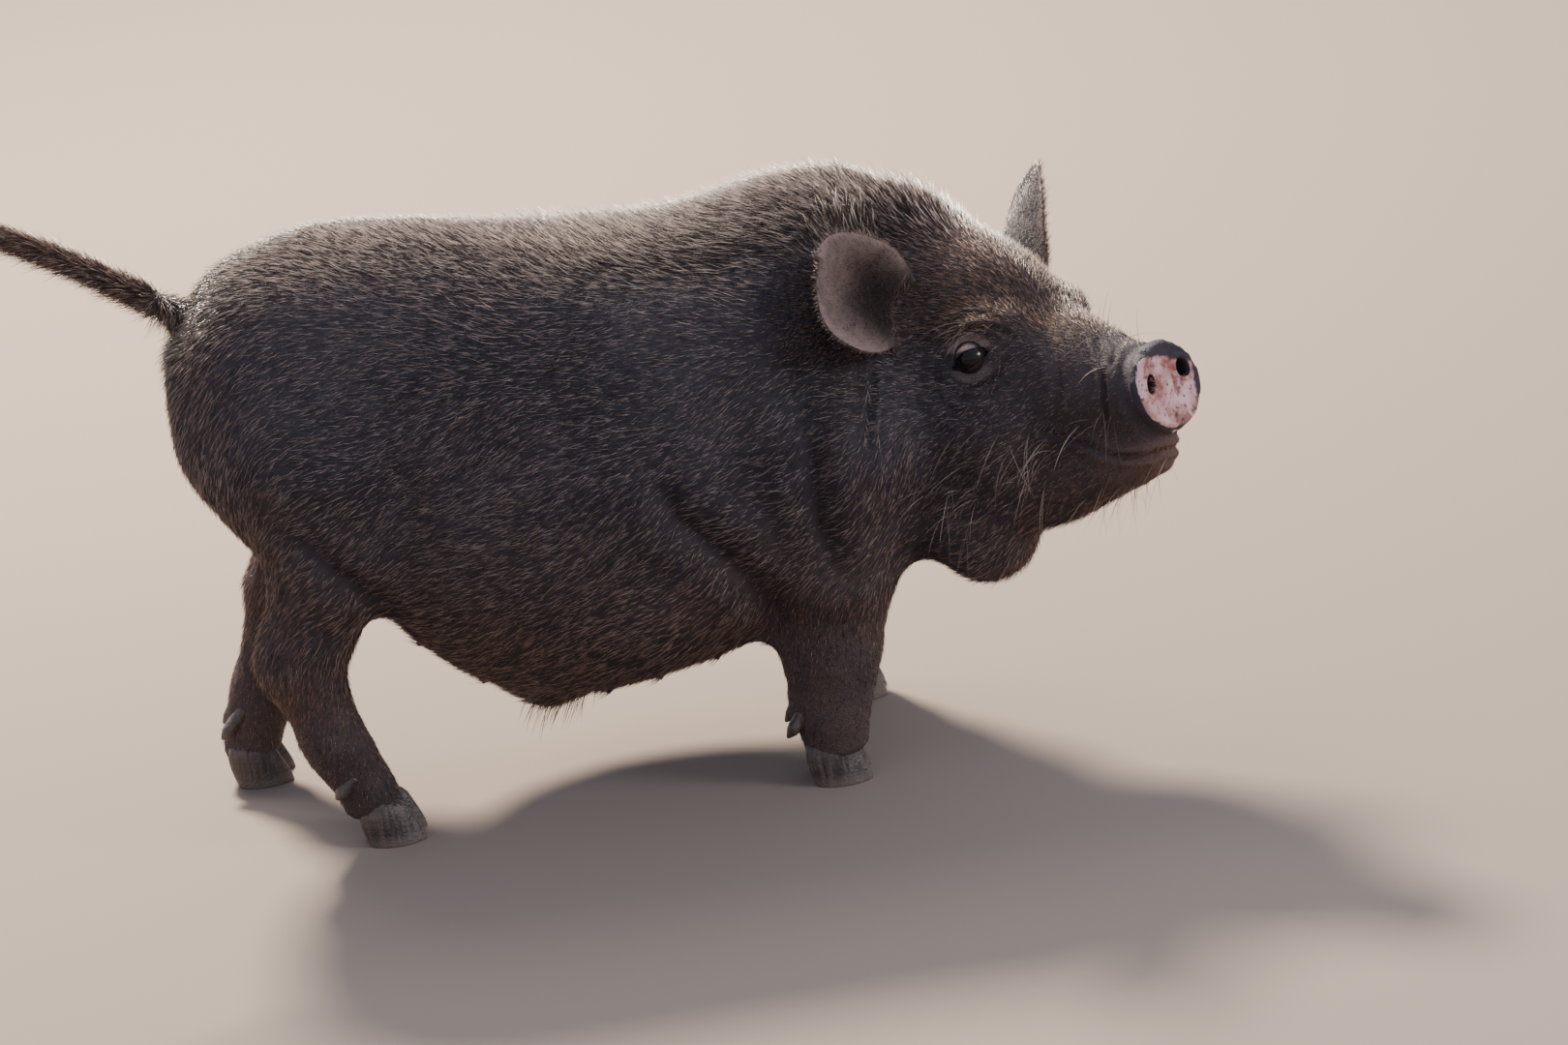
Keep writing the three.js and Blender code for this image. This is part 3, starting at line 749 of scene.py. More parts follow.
def masks_of(mesh):
    """How far the skin at each corner is pink, lip, ear lining painted pale as if lit through the ear,
    painted shade in hollows, pale lid with a painted highlight on the ears' rims, bare, and warmed by dust.
    """
    points = points_of(mesh)
    head = to_head(points)
    facing = normals_of(mesh) @ HEAD_TURN
    f, l, u = head.T
    face = smooth_step(f, 119, 123)
    forwards = smooth_step(facing[:, 0], 0.35, 0.75)
    pink = face * np.maximum(forwards, smooth_step(f, 128, 125) * (np.hypot(l, u - SNOUT["down"]) < 30))
    pink *= smooth_step(l - 0.12 * (u - SNOUT["down"]), 32, 21)
    pink *= smooth_step(u + 0.25 * l, -40, -54)
    lips = smooth_step(f, 78, 100) * smooth_step(u, -100, -114) * (1 - face)
    lining, hollow, rim = np.zeros((3, len(points)))
    for name, side in SIDES.items():
        up, aside, depth = ear_coordinates(head, name)
        leaf = on_leaf(up, aside, depth, name)
        # The inner face of each ear, painted pale as light shining through the thin ear.
        turned = leaf * smooth_step(facing @ ear_place(name)[1], -0.1, 0.3)
        lining = np.maximum(lining, turned)
        # The back of each ear leaf is painted in weaker shade.
        hollow = np.maximum(hollow, 0.4 * leaf * (1 - turned))
        # Painted shade deep in the cup of each ear's inner face.
        dark = np.exp(-((up - 0.14) / 0.52) ** 4 - ((aside - 5 * side) / 32) ** 4)
        hollow = np.maximum(hollow, dark * turned)
        # The rim and tip of each ear leaf, painted paler as a highlight.
        edge = smooth_step(np.abs(aside) / ear_reach(up, aside, name), 0.80, 0.93) * (up > 0.1)
        rim = np.maximum(rim, leaf * np.maximum(edge, smooth_step(up, 0.90, 0.96)))
    for side in (-1, 1):
        # Painted shade inside the nostrils.
        hollow = np.maximum(hollow, smooth_step(nostril_reach(l, u, side), 1.15, 0.8) * face)
    pink *= 1 - hollow
    # The lid mark starts with the ears' rims, which are a painted highlight.
    lid, bare = 0.8 * rim, face.copy()
    for name in SIDES:
        centre, _, up, _ = eye_frame(name)
        apart = distance(head, centre)
        rise = (head - centre) @ up / np.maximum(apart, 1)
        band = smooth_step(apart, 13.3, 14.0) * smooth_step(apart, 22.0, 18.5)
        band *= smooth_step(rise, 0.20, 0.42) + 0.3 * smooth_step(rise, -0.35, -0.60)
        lid = np.maximum(lid, band)
        # A ring of painted shade where the lids meet the ball.
        hollow = np.maximum(hollow, 0.8 * smooth_step(apart, 13.9, 13.2))
        bare = np.maximum(bare, smooth_step(apart, 21, 16))
    warm = smooth_step(points[:, 2], 300, 120) * 0.8 + 0.25 * smooth_step(f, -60, 40)
    warm += 0.6 * smooth_step(f, 0, 70) * smooth_step(u, -88, -112)
    warm += 0.5 * smooth_step(points[:, 0], -100, -120) * (points[:, 2] > TAIL_ABOVE)
    warm = np.clip(warm * (1 - face), 0, 1)
    return dict(zip((*MARKS, "bare"), (pink, lips, lining, hollow, lid, warm, bare)))


def write_masks(mesh, masks):
    for name, values in masks.items():
        layer = mesh.attributes.new(name, "FLOAT", "POINT")
        layer.data.foreach_set("value", np.asarray(values, np.float32))


# ---- Colours and textures ----


class Wiring:
    """Short names for adding shader nodes to one tree."""

    def __init__(self, tree):
        self.tree = tree

    def link(self, source, target):
        self.tree.links.new(source, target)

    def add(self, kind, inputs, output, **settings):
        """A node's output, with its inputs linked or set by name or number."""
        node = self.tree.nodes.new(kind)
        for key, value in settings.items():
            setattr(node, key, value)
        for key, value in inputs.items():
            if isinstance(value, bpy.types.NodeSocket):
                self.link(value, node.inputs[key])
            else:
                node.inputs[key].default_value = value
        return node.outputs[output]

    def attribute(self, name):
        return self.add("ShaderNodeAttribute", {}, "Fac", attribute_name=name)

    def place(self):
        return self.add("ShaderNodeTexCoord", {}, "Object")

    def noise(self, place, scale, detail=3.0, roughness=0.55, distortion=0.0):
        return self.add("ShaderNodeTexNoise", {
            "Vector": place, "Scale": scale, "Detail": detail, "Roughness": roughness,
            "Distortion": distortion}, "Fac")

    def ramp(self, value, low, high, out_low=0.0, out_high=1.0):
        return self.add("ShaderNodeMapRange", {
            "Value": value, "From Min": low, "From Max": high, "To Min": out_low, "To Max": out_high},
            "Result", interpolation_type="SMOOTHSTEP")

    def sum(self, a, b, operation="ADD"):
        return self.add("ShaderNodeMath", {0: a, 1: b}, 0, operation=operation)

    def times(self, a, b):
        return self.sum(a, b, "MULTIPLY")

    def mix(self, amount, a, b):
        return self.add("ShaderNodeMix", {0: amount, 6: a, 7: b}, 2, data_type="RGBA")

    def stretched(self, place, scale):
        return self.add("ShaderNodeMapping", {"Vector": place, "Scale": scale}, 0)

    def group(self, tree, **inputs):
        return self.add("ShaderNodeGroup", inputs, 0, node_tree=tree)


def new_material(name, roughness, specular=0.5):
    material = bpy.data.materials.new(name)
    material.use_nodes = True
    shader = material.node_tree.nodes["Principled BSDF"]
    shader.inputs["Roughness"].default_value = roughness
    shader.inputs["Specular IOR Level"].default_value = specular
    return material, Wiring(material.node_tree), shader


def new_group(name, inputs, outputs):
    """A shared node group: its wiring, its input node and its output node."""
    tree = bpy.data.node_groups.new(name, "ShaderNodeTree")
    for key, kind in inputs.items():
        tree.interface.new_socket(key, in_out="INPUT", socket_type=kind)
    for key, kind in outputs.items():
        tree.interface.new_socket(key, in_out="OUTPUT", socket_type=kind)
    return Wiring(tree), tree.nodes.new("NodeGroupInput").outputs, tree.nodes.new("NodeGroupOutput").inputs


CHARCOAL = (0.024, 0.020, 0.024, 1)
SLATE = (0.060, 0.049, 0.056, 1)
DUST = (0.105, 0.066, 0.050, 1)
UMBER = (0.115, 0.062, 0.048, 1)
PINK = (0.450, 0.210, 0.190, 1)
PINK_PALE = (0.610, 0.390, 0.380, 1)
RUST = (0.210, 0.070, 0.052, 1)
RUST_DARK = (0.06, 0.020, 0.014, 1)
# Painted light: the ears' inner faces, as if lit through from behind.
TAUPE = (0.175, 0.118, 0.094, 1)
TAUPE_DARK = (0.10, 0.068, 0.058, 1)
# Pale band over the lids; the same colour paints a highlight along the ears' rims.
LID = (0.240, 0.170, 0.145, 1)
SOOT = (0.018, 0.016, 0.017, 1)
# Painted shade: near black for the ears' hollows and backs, the nostrils and the rims of the eyes.
DARK = (0.006, 0.003, 0.0025, 1)


def marking_group():
    """Where the pig is charcoal, slate, dusty, rust or pink, with painted shade in its hollows and painted
    light on its ears: the skin and the coat both read it.
    """
    w, given, result = new_group(
        "pig_markings",
        {"Place": "NodeSocketVector", **{mark.title(): "NodeSocketFloat" for mark in MARKS}},
        {"Color": "NodeSocketColor"})
    place = given["Place"]
    broad = w.ramp(w.noise(place, 7, 4), 0.35, 0.68)
    fine = w.ramp(w.noise(place, 120, 3), 0.3, 0.72)
    colour = w.mix(w.times(broad, 0.8), CHARCOAL, SLATE)
    colour = w.mix(w.times(fine, 0.35), colour, SOOT)
    dusty = w.times(given["Warm"], w.ramp(w.noise(place, 16, 5), 0.3, 0.75, 0.25, 0.95))
    colour = w.mix(dusty, colour, DUST)
    # Painted light through the ears: their inner faces pale taupe.
    lining = w.mix(w.ramp(w.noise(place, 60, 4), 0.35, 0.7), TAUPE, TAUPE_DARK)
    colour = w.mix(given["Lining"], colour, lining)
    # Pale lid bands, and a painted highlight along the ears' rims.
    colour = w.mix(w.times(given["Lid"], 0.72), colour, LID)
    # Painted shade over the ears' hollows and backs, the nostrils and the eye rims.
    colour = w.mix(w.times(given["Hollow"], 0.95), colour, DARK)
    colour = w.mix(w.times(given["Lips"], 0.7), colour, UMBER)
    blush = w.mix(w.ramp(w.noise(place, 48, 3), 0.40, 0.62), PINK_PALE, PINK)
    spots = w.ramp(w.noise(place, 62, 4, 0.6, 0.2), 0.47, 0.60)
    blush = w.mix(w.times(spots, 0.85), blush, RUST)
    blush = w.mix(w.ramp(w.noise(place, 210, 3), 0.58, 0.66, 0, 0.7), blush, RUST_DARK)
    ragged = w.sum(given["Pink"], w.times(w.noise(place, 110, 3), 0.9))
    w.link(w.mix(w.ramp(ragged, 0.72, 1.02), colour, blush), result["Color"])
    return w.tree


def grain_group():
    """Fine creases and pores as a bump normal; the skin and the horn use it at different scales."""
    w, given, result = new_group("pig_grain", {
        "Place": "NodeSocketVector", "Strength": "NodeSocketFloat"}, {"Normal": "NodeSocketVector"})
    place = given["Place"]
    borders = w.add("ShaderNodeTexVoronoi", {"Vector": place, "Scale": 420}, "Distance",
                    feature="DISTANCE_TO_EDGE")
    pebbles = w.ramp(borders, 0.0, 0.35)
    wrinkles = w.noise(w.stretched(place, (1.0, 1.0, 0.35)), 160, 5, 0.6, 0.8)
    height = w.sum(w.times(pebbles, 0.5), w.times(wrinkles, 1.2))
    height = w.sum(height, w.times(w.noise(place, 900, 2), 0.3))
    bump = {"Strength": given["Strength"], "Distance": 0.0011, "Height": height}
    w.link(w.add("ShaderNodeBump", bump, "Normal"), result["Normal"])
    return w.tree


def marked(w, markings, place):
    """The marking colour at a place, from the masks on the mesh."""
    return w.group(markings, Place=place, **{mark.title(): w.attribute(mark) for mark in MARKS})


def skin_material(markings, grain):
    material, w, shader = new_material("pig_skin", 0.5, 0.18)
    place = w.place()
    w.link(marked(w, markings, place), shader.inputs["Base Color"])
    wet = w.sum(w.times(w.attribute("pink"), 0.8), w.times(w.attribute("bare"), 0.15))
    roughness = w.sum(w.ramp(w.noise(place, 45, 3), 0.3, 0.7, 0.62, 0.78), w.times(wet, 0.3), "SUBTRACT")
    w.link(roughness, shader.inputs["Roughness"])
    w.link(w.group(grain, Place=place, Strength=0.55), shader.inputs["Normal"])
    shader.inputs["Subsurface Weight"].default_value = 0.05
    shader.inputs["Subsurface Scale"].default_value = 0.004
    return material


def coat_material(name, markings, root, tip, roughness):
    """Bristle colour: the skin's own marking at the root, its own tint towards the tip."""
    material, w, shader = new_material(name, roughness, 0.45)
    own = marked(w, markings, w.place())
    shade, along = w.attribute("shade"), w.attribute("along")
    pale = w.mix(w.attribute("warm"), tip, (tip[0], tip[1] * 0.74, tip[2] * 0.56, 1))
    sooty = (root[0] * 1.6, root[1] * 1.5, root[2] * 1.5, 1)
    light = w.mix(w.ramp(shade, 0.24, 0.42), pale, sooty)
    strand = w.mix(w.ramp(along, 0.0, 0.5), root, light)
    strand = w.mix(0.15, strand, own)
    # Hair standing in the painted shade is painted dark as well.
    strand = w.mix(w.times(w.attribute("hollow"), 0.9), strand, root)
    w.link(strand, shader.inputs["Base Color"])
    return material


HORN_DARK = (0.040, 0.029, 0.024, 1)
HORN_PALE = (0.115, 0.080, 0.060, 1)
HORN_RING = (0.032, 0.024, 0.02, 1)
HORN_WORN = (0.150, 0.112, 0.085, 1)


def horn_material(grain):
    material, w, shader = new_material("pig_horn", 0.42)
    place = w.place()
    rings = w.noise(w.stretched(place, (0.5, 0.5, 9.0)), 40, 4, 0.6, 0.5)
    streaks = w.noise(w.stretched(place, (8.0, 8.0, 0.6)), 40, 4)
    colour = w.mix(w.ramp(streaks, 0.35, 0.68), HORN_DARK, HORN_PALE)
    colour = w.mix(w.ramp(rings, 0.45, 0.62, 0, 0.5), colour, HORN_RING)
    worn = w.ramp(w.add("ShaderNodeSeparateXYZ", {0: place}, "Z"), 0.0, 0.012, 0.8, 0.0)
    colour = w.mix(worn, colour, HORN_WORN)
    w.link(colour, shader.inputs["Base Color"])
    w.link(w.ramp(streaks, 0.3, 0.7, 0.34, 0.6), shader.inputs["Roughness"])
    w.link(w.group(grain, Place=w.stretched(place, (0.7, 0.7, 0.7)), Strength=0.35), shader.inputs["Normal"])
    return material


IRIS = (0.010, 0.005, 0.003, 1), (0.026, 0.013, 0.008, 1)
EYE_WHITE = (0.016, 0.010, 0.009, 1), (0.034, 0.024, 0.022, 1)
IRIS_EDGE = (0.008, 0.006, 0.005, 1)
PUPIL = (0.003, 0.003, 0.003, 1)


def eye_material():
    """Almost black, with a brown iris round a wide pupil, under a wet clear surface."""
    material, w, shader = new_material("pig_eye", 0.18, 0.12)
    place = w.place()
    out = w.attribute("out")
    iris = w.mix(w.ramp(w.noise(place, 700, 3), 0.35, 0.7), *IRIS)
    white = w.mix(w.ramp(w.noise(place, 300, 3), 0.3, 0.7), *EYE_WHITE)
    colour = w.mix(w.ramp(out, 0.74, 0.78), iris, IRIS_EDGE)
    colour = w.mix(w.ramp(out, 0.42, 0.50), white, colour)
    colour = w.mix(w.ramp(out, 0.93, 0.95), colour, PUPIL)
    w.link(colour, shader.inputs["Base Color"])
    w.link(w.ramp(w.noise(place, 150, 2), 0.3, 0.7, 0.12, 0.2), shader.inputs["Roughness"])
    shader.inputs["Coat Weight"].default_value = 0.4
    shader.inputs["Coat Roughness"].default_value = 0.02
    shader.inputs["Coat IOR"].default_value = 1.38
    return material


# ---- The coat ----


def legness(points):
    """1 on the legs below the body, 0 on the body."""
    low = smooth_step(points[:, 2], 200, 140)
    fore = smooth_step(points[:, 0], 300, 318) * smooth_step(points[:, 0], 440, 420)
    hind = smooth_step(points[:, 0], 30, 10)
    return low * np.maximum(fore, hind) * smooth_step(np.abs(points[:, 1]), 20, 40)


def lie_of_coat(points, normals):
    """The direction in which the bristles lie at each place, along the skin."""
    x, y, z = points.T
    flow = np.tile([-1.0, 0, 0], (len(points), 1))
    flow[:, 2] = -0.30 * smooth_step(z, 430, 330) + 0.25 * smooth_step(z, 150, 100)

    def turned(flow, share, way):
        return flow * (1 - share)[:, None] + share[:, None] * way

    flow = turned(flow, smooth_step(x, 0, -90), np.array([-0.25, 0, -1.0]))
    flow = turned(flow, legness(points), np.array([-0.28, 0, -1.0]))
    head = to_head(points)
    back = np.stack([-np.ones(len(points)), np.sign(head[:, 1]) * 0.12,
                     -0.30 * smooth_step(head[:, 2], -10, -70)], axis=1)
    flow = turned(flow, smooth_step(head[:, 0], -95, -40) * smooth_step(z, 180, 220), back @ HEAD_TURN.T)
    for name in SIDES:
        _, _, across, along = ear_place(name)
        up, aside, depth = ear_coordinates(head, name)
        fanned = (along + (aside / 60)[:, None] * across * 0.9) @ HEAD_TURN.T
        flow = turned(flow, smooth_step(up, 0.04, 0.16) * near_ear(aside, depth), fanned)
    flow = turned(flow, smooth_step(x, -112, -124) * (z > TAIL_ABOVE), np.array([-0.95, 0.06, 0.34]))
    wave = np.sin(x * 0.031 + 1.3) * np.cos(z * 0.037 + y * 0.02) * 0.22
    flow = flow + np.cross(normals, flow) * wave[:, None]
    return unit(flow - normals * np.sum(flow * normals, axis=1)[:, None])


class Hide:
    """The finished skin as arrays from which tufts take their roots."""

    def __init__(self, mesh, masks):
        self.points, self.normals, self.masks = points_of(mesh), normals_of(mesh), masks
        mesh.calc_loop_triangles()
        self.corners = read(mesh.loop_triangles, "vertices", 3, np.int32)
        loops = read(mesh.loop_triangles, "loops", 3, np.int32)
        self.spots = read(mesh.uv_layers["Unwrap"].data, "uv", 2)[loops]
        a, b, c = (self.points[self.corners[:, n]] for n in range(3))
        self.areas = np.linalg.norm(np.cross(b - a, c - a), axis=1) / 2

    def roots(self, density, count, random):
        """Places spread evenly over the skin by a density given at its corners."""
        weight = np.cumsum(self.areas * density[self.corners].mean(axis=1))
        picks = (np.arange(count) + random.random(count)) / count * weight[-1]
        which = np.searchsorted(weight, picks)
        mix = random.dirichlet((1, 1, 1), count)
        corners = self.corners[which]

        def blended(values):
            return np.einsum("nk,nk...->n...", mix, values[corners])

        return {"points": blended(self.points), "normals": unit(blended(self.normals)),
                "spots": np.einsum("nk,nkd->nd", mix, self.spots[which]),
                **{name: blended(values) for name, values in self.masks.items()}}


# The side of a bristle's patch in the OFBake map, and how deep its root stands in the skin.
PATCH, SUNK = 0.003, 0.7
# The share of bristles that are pale, and their thickness and the rest's.
PALE_SHARE, PALE_WIDTH, DARK_WIDTH = 0.33, 1.35, 0.95


def triangles(name, points, faces):
    """A mesh of triangles, built from arrays."""
    mesh = bpy.data.meshes.new(name)
    mesh.vertices.add(len(points))
    mesh.loops.add(faces.size)
    mesh.polygons.add(len(faces))
    mesh.loops.foreach_set("vertex_index", faces.ravel().astype(np.int32))
    mesh.polygons.foreach_set("loop_start", np.arange(0, faces.size, 3, dtype=np.int32))
    place_points(mesh, points)
    mesh.update(calc_edges=True)
    return mesh


def bristles(name, roots, directions, lengths, widths, bends, random, rings=1):
    """One mesh of closed bristles: each is a three-sided spike with `rings` rings and a tip."""
    count = len(lengths)
    shade = random.random(count)
    widths = widths * np.where(shade < PALE_SHARE, PALE_WIDTH, DARK_WIDTH)
    steps = np.arange(rings) / rings
    normals = roots["normals"]
    aside = unit(np.cross(directions, normals))
    upright = np.cross(aside, directions)
    corners = []
    base = roots["points"] - normals * SUNK
    for t in steps:
        middle = base + directions * (lengths * t)[:, None] + bends * (lengths * t * t)[:, None]
        width = (widths * (1 - t) ** 0.6 / 2)[:, None]
        for turn in (math.pi / 2, math.pi * 7 / 6, math.pi * 11 / 6):
            corners.append(middle + width * (math.cos(turn) * aside + math.sin(turn) * upright))
    corners.append(base + directions * lengths[:, None] + bends * lengths[:, None])
    each = len(corners)
    points = np.stack(corners, axis=1).reshape(-1, 3)
    pattern = [(0, 2, 1)]
    for r in range(rings - 1):
        for i in range(3):
            j = (i + 1) % 3
            pattern += [(3 * r + i, 3 * r + j, 3 * r + 3 + j), (3 * r + i, 3 * r + 3 + j, 3 * r + 3 + i)]
    top = 3 * (rings - 1)
    pattern += [(top, top + 1, each - 1), (top + 1, top + 2, each - 1), (top + 2, top, each - 1)]
    pattern = np.array(pattern)
    faces = (np.arange(count)[:, None, None] * each + pattern).reshape(-1, 3)
    mesh = triangles(name, points, faces)

    along = np.tile(np.append(np.repeat(steps, 3), 1.0), count)
    offsets = np.tile(np.append(np.tile([-0.5, 0.0, 0.5], rings), 0.0), count)
    spots = np.repeat(roots["spots"], each, axis=0) + PATCH * np.stack([along - 0.5, offsets], axis=1)
    layer = mesh.uv_layers.new(name="OFBake")
    layer.data.foreach_set("uv", spots[faces.ravel()].astype(np.float32).ravel())
    values = {"along": along, "shade": np.repeat(shade, each)}
    for key in MARKS:
        values[key] = np.repeat(roots[key], each)
    write_masks(mesh, values)
    return mesh


def lifted(roots, lift, jitter, random):
    """Bristle directions: along the lie of the coat, raised by an angle in degrees, each a little astray."""
    flow = lie_of_coat(roots["points"], roots["normals"])
    astray = random.normal(0, jitter, len(flow))[:, None]
    flow = unit(flow + np.cross(roots["normals"], flow) * np.radians(astray))
    angle = np.radians(np.clip(lift * random.normal(1, 0.28, len(flow)), 4, 80))[:, None]
    return np.cos(angle) * flow + np.sin(angle) * roots["normals"]


# ---- Eyes, hooves and dewclaws ----


def eyeball_mesh(name):
    """A ball with its clear front standing slightly proud, turned to look out of its lids."""
    centre, along, up, out = eye_frame(name)
    rings = []
    for polar in np.linspace(0.03, math.pi - 0.03, 46):
        radius = EYE_RADIUS + 0.7 * smooth_step(np.array(polar), 0.78, 0.2)
        turns = around(48)
        spots = np.cos(polar) * out + np.sin(polar) * (np.cos(turns) * along + np.sin(turns) * up)
        rings.append(from_head(centre + radius * spots))
    mesh = lofted(f"eyeball_{name}", rings)
    write_masks(mesh, {"out": (to_head(points_of(mesh)) - centre) @ out / EYE_RADIUS})
    return mesh


# Heights up a claw, and its size there.
CLAW_RINGS = ((0.0, 0.90), (0.0, 0.985), (1.0, 1.0), (5, 1.0), (10, 0.99), (15, 0.97), (20, 0.94),
              (25, 0.90), (29, 0.84), (33, 0.72), (35, 0.5))
HEEL_ROOM = 7


def claw_mesh(leg, place):
    """One horn claw on its flat sole: a sloping toe wall, a round heel and a soft top edge."""
    low, high = (corner - OFFSET for corner in box_of(f"hoof_{leg}_{place}"))
    middle_y, toe_x, heel_x = (low[1] + high[1]) / 2, high[0], low[0]
    half_width = (high[1] - low[1]) / 2
    inwards = -SIDES[leg.split("_")[1]] * (1 if place == "outer" else -1)
    rings = []
    for up, size in CLAW_RINGS:
        ring = []
        for turn in np.linspace(0, 2 * math.pi, 44, endpoint=False):
            toe = max(math.cos(turn), 0)
            side = math.sin(turn)
            flat = 1 - 0.14 * max(side * inwards, 0) ** 2
            length = (toe_x - heel_x - HEEL_ROOM) / 2
            reach = length * size * math.cos(turn) * (1 + 0.04 * toe)
            x = heel_x + HEEL_ROOM + length + reach - 0.27 * up - 4
            y = middle_y + (half_width - 0.2) * size * side * (1 - 0.30 * toe ** 2) * flat
            groove = 0.35 * math.sin(up * 1.1 + 2 * math.cos(turn)) * min(up / 4, 1)
            ring.append((x + groove * math.cos(turn), y + groove * side, up))
        rings.append(np.array(ring))
    return lofted(f"claw_{leg}_{place}", rings)


def dewclaw_mesh(leg, place):
    """A small blunt horn cone that hangs behind the foot."""
    low, high = (corner - OFFSET for corner in box_of(f"dewclaw_{leg}_{place}"))
    middle_y = (low[1] + high[1]) / 2
    tip = np.array([low[0] + 5.0, middle_y, low[2] + 3.5])
    root = np.array([high[0] + 7.0, middle_y, high[2] + 2.0])
    along = unit(root - tip)
    aside = np.array([0.0, 1.0, 0.0])
    across = np.cross(along, aside)
    rings = []
    for t in np.linspace(0, 1, 16):
        radius = 6.6 * math.sin(math.pi / 2 * min(t / 0.42 + 0.12, 1)) * (1 + 0.03 * math.sin(t * 40))
        turns = around(24)
        ring = np.cos(turns) * across * 0.85 + np.sin(turns) * aside
        rings.append(tip + (root - tip) * t + radius * ring)
    return lofted(f"spur_{leg}_{place}", rings)


# ---- Building the pig ----


def unwrap(mesh):
    """Adds an unwrap of the skin's own shape, from which the tufts take their places."""
    host = linked("unwrap_host", mesh)
    mesh.uv_layers.new(name="Unwrap")
    bpy.context.view_layer.objects.active = host
    host.select_set(True)
    bpy.ops.object.mode_set(mode="EDIT")
    bpy.ops.mesh.select_all(action="SELECT")
    bpy.ops.uv.smart_project(angle_limit=math.radians(66), island_margin=0.002)
    bpy.ops.object.mode_set(mode="OBJECT")
    bpy.data.objects.remove(host)


def keel_apart(points):
    """Distance aside from the line of the back, which follows the neck's bend towards the head."""
    return np.abs(points[:, 1] - np.interp(points[:, 0], [380, 470], [0, -30]))


def region_values(points):
    """Length, raise and thickness of the coat at each place, in millimetres and degrees."""
    head = to_head(points)
    x, _, z = points.T
    face = smooth_step(head[:, 0], -70, 10) * smooth_step(z, 200, 240)
    muzzle = smooth_step(head[:, 0], 30, 95)
    foot = smooth_step(z, 190, 70) * np.maximum(smooth_step(x, 300, 320), smooth_step(x, 30, 5))
    ridge = smooth_step(keel_apart(points), 46, 10) * smooth_step(z, 380, 425)
    crest = ridge * smooth_step(x, 190, 300)
    ears = np.zeros(len(points))
    for name in SIDES:
        up, aside, depth = ear_coordinates(head, name)
        ears = np.maximum(ears, smooth_step(up, 0.0, 0.14) * near_ear(aside, depth))
    length = 14.0 + 7.0 * crest - 5.5 * face - 3.0 * muzzle - 5.5 * foot
    length = length * (1 - ears) + 7.0 * ears
    raised = 17.0 + 18.0 * crest + 6.0 * ridge + 2.0 * face - 4.0 * foot
    width = 0.58 + 0.10 * crest - 0.10 * face - 0.12 * muzzle - 0.1 * foot - 0.1 * ears
    return length, raised, width


def body_density(points, masks):
    """How closely the coat stands: closest on the head and ears, none on bare skin and hooves."""
    head = to_head(points)
    x, _, z = points.T
    density = (1 - masks["bare"]) * smooth_step(z, 30, 42)
    density *= 1 + 0.8 * smooth_step(head[:, 0], -90, -40) * smooth_step(z, 200, 240)
    density *= (1 - 0.5 * masks["lining"]) * (1 - 0.8 * masks["hollow"])
    for name in SIDES:
        density *= 1 + 1.4 * on_leaf(*ear_coordinates(head, name), name) * (1 - masks["lining"])
    return density * (1 - 0.35 * smooth_step(z, 170, 110) * smooth_step(x, 20, 40))


# The coat's pieces, by the distance forward in the pig's frame and in the head's.
COAT_PIECES = {
    "coat_rump": lambda x, f: x < 40,
    "coat_flank": lambda x, f: (x >= 40) & (x < 215),
    "coat_shoulder": lambda x, f: (x >= 215) & (f < -115),
    "coat_head": lambda x, f: f >= -115,
}
BRISTLES_EACH, COAT_SEED = 46000, 11
THINNED, THICKER = ((1, 1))


def add_body_coat(hide, material):
    """The short coat, as four pieces."""
    head = to_head(hide.points)[:, 0]
    everywhere = body_density(hide.points, hide.masks)
    for number, (name, chosen) in enumerate(COAT_PIECES.items()):
        random = np.random.default_rng(number + COAT_SEED)
        count = BRISTLES_EACH // THINNED
        roots = hide.roots(everywhere * chosen(hide.points[:, 0], head), count, random)
        length, raised, width = region_values(roots["points"])
        directions = lifted(roots, raised, 11, random)
        lengths = length * random.uniform(0.55, 1.15, count)
        bends = -roots["normals"] * (0.10 * np.sin(np.radians(raised)))[:, None]
        widths = width * random.uniform(0.7, 1.2, count) * THICKER
        mesh = bristles(name, roots, directions, lengths, widths, bends, random)
        object_from(name, mesh, "hide", material)


# Pieces of long hair: how many, lengths, raise in degrees, bend, thickness and seed.
LONG_HAIR = {
    "crest_bristles": (17000, (12, 24), 34, (0, 0, -0.05), 0.52, 21),
    "back_bristles": (16000, (10, 19), 30, (0, 0, -0.10), 0.52, 22),
    "brow_bristles": (15000, (5, 12), 30, (0, 0, -0.05), 0.46, 29),
    "whiskers": (190, (14, 42), 28, (0.08, 0, -0.45), 0.34, 23),
    "ear_hair_right": (320, (7, 19), 26, (0, 0, -0.12), 0.34, 33),
    "ear_fringe_right": (1100, (4, 10), 18, (0, 0, -0.05), 0.36, 23),
    "ear_hair_left": (320, (7, 19), 26, (0, 0, -0.12), 0.34, 35),
    "ear_fringe_left": (1100, (4, 10), 18, (0, 0, -0.05), 0.36, 25),
    "tail_tuft": (4200, (10, 30), 16, (0, 0, -0.10), 0.5, 27),
    "belly_tuft": (60, (12, 26), 30, (0, 0, -0.2), 0.55, 28),
}


def add_long_hair(name, hide, density, material, aim=None, jitter=13, rings=2):
    """Curved hairs with their roots where a density allows; aim turns them away from the lie of the coat."""
    count, lengths, raised, bend, width, seed = LONG_HAIR[name]
    random = np.random.default_rng(seed)
    roots = hide.roots(density, count, random)
    directions = lifted(roots, raised, jitter, random)
    if aim is not None:
        directions = directions * 0.35 + aim(roots["points"])
        directions += random.normal(0, 0.13, directions.shape)
        directions = unit(directions)
    sizes = random.uniform(*lengths, count)
    bends = np.array(bend, float) + random.normal(0, 0.003 * jitter, (count, 3))
    widths = width * random.uniform(0.8, 1.2, count)
    mesh = bristles(name, roots, directions, sizes, widths, bends, random, rings=rings)
    object_from(name, mesh, "hide", material)


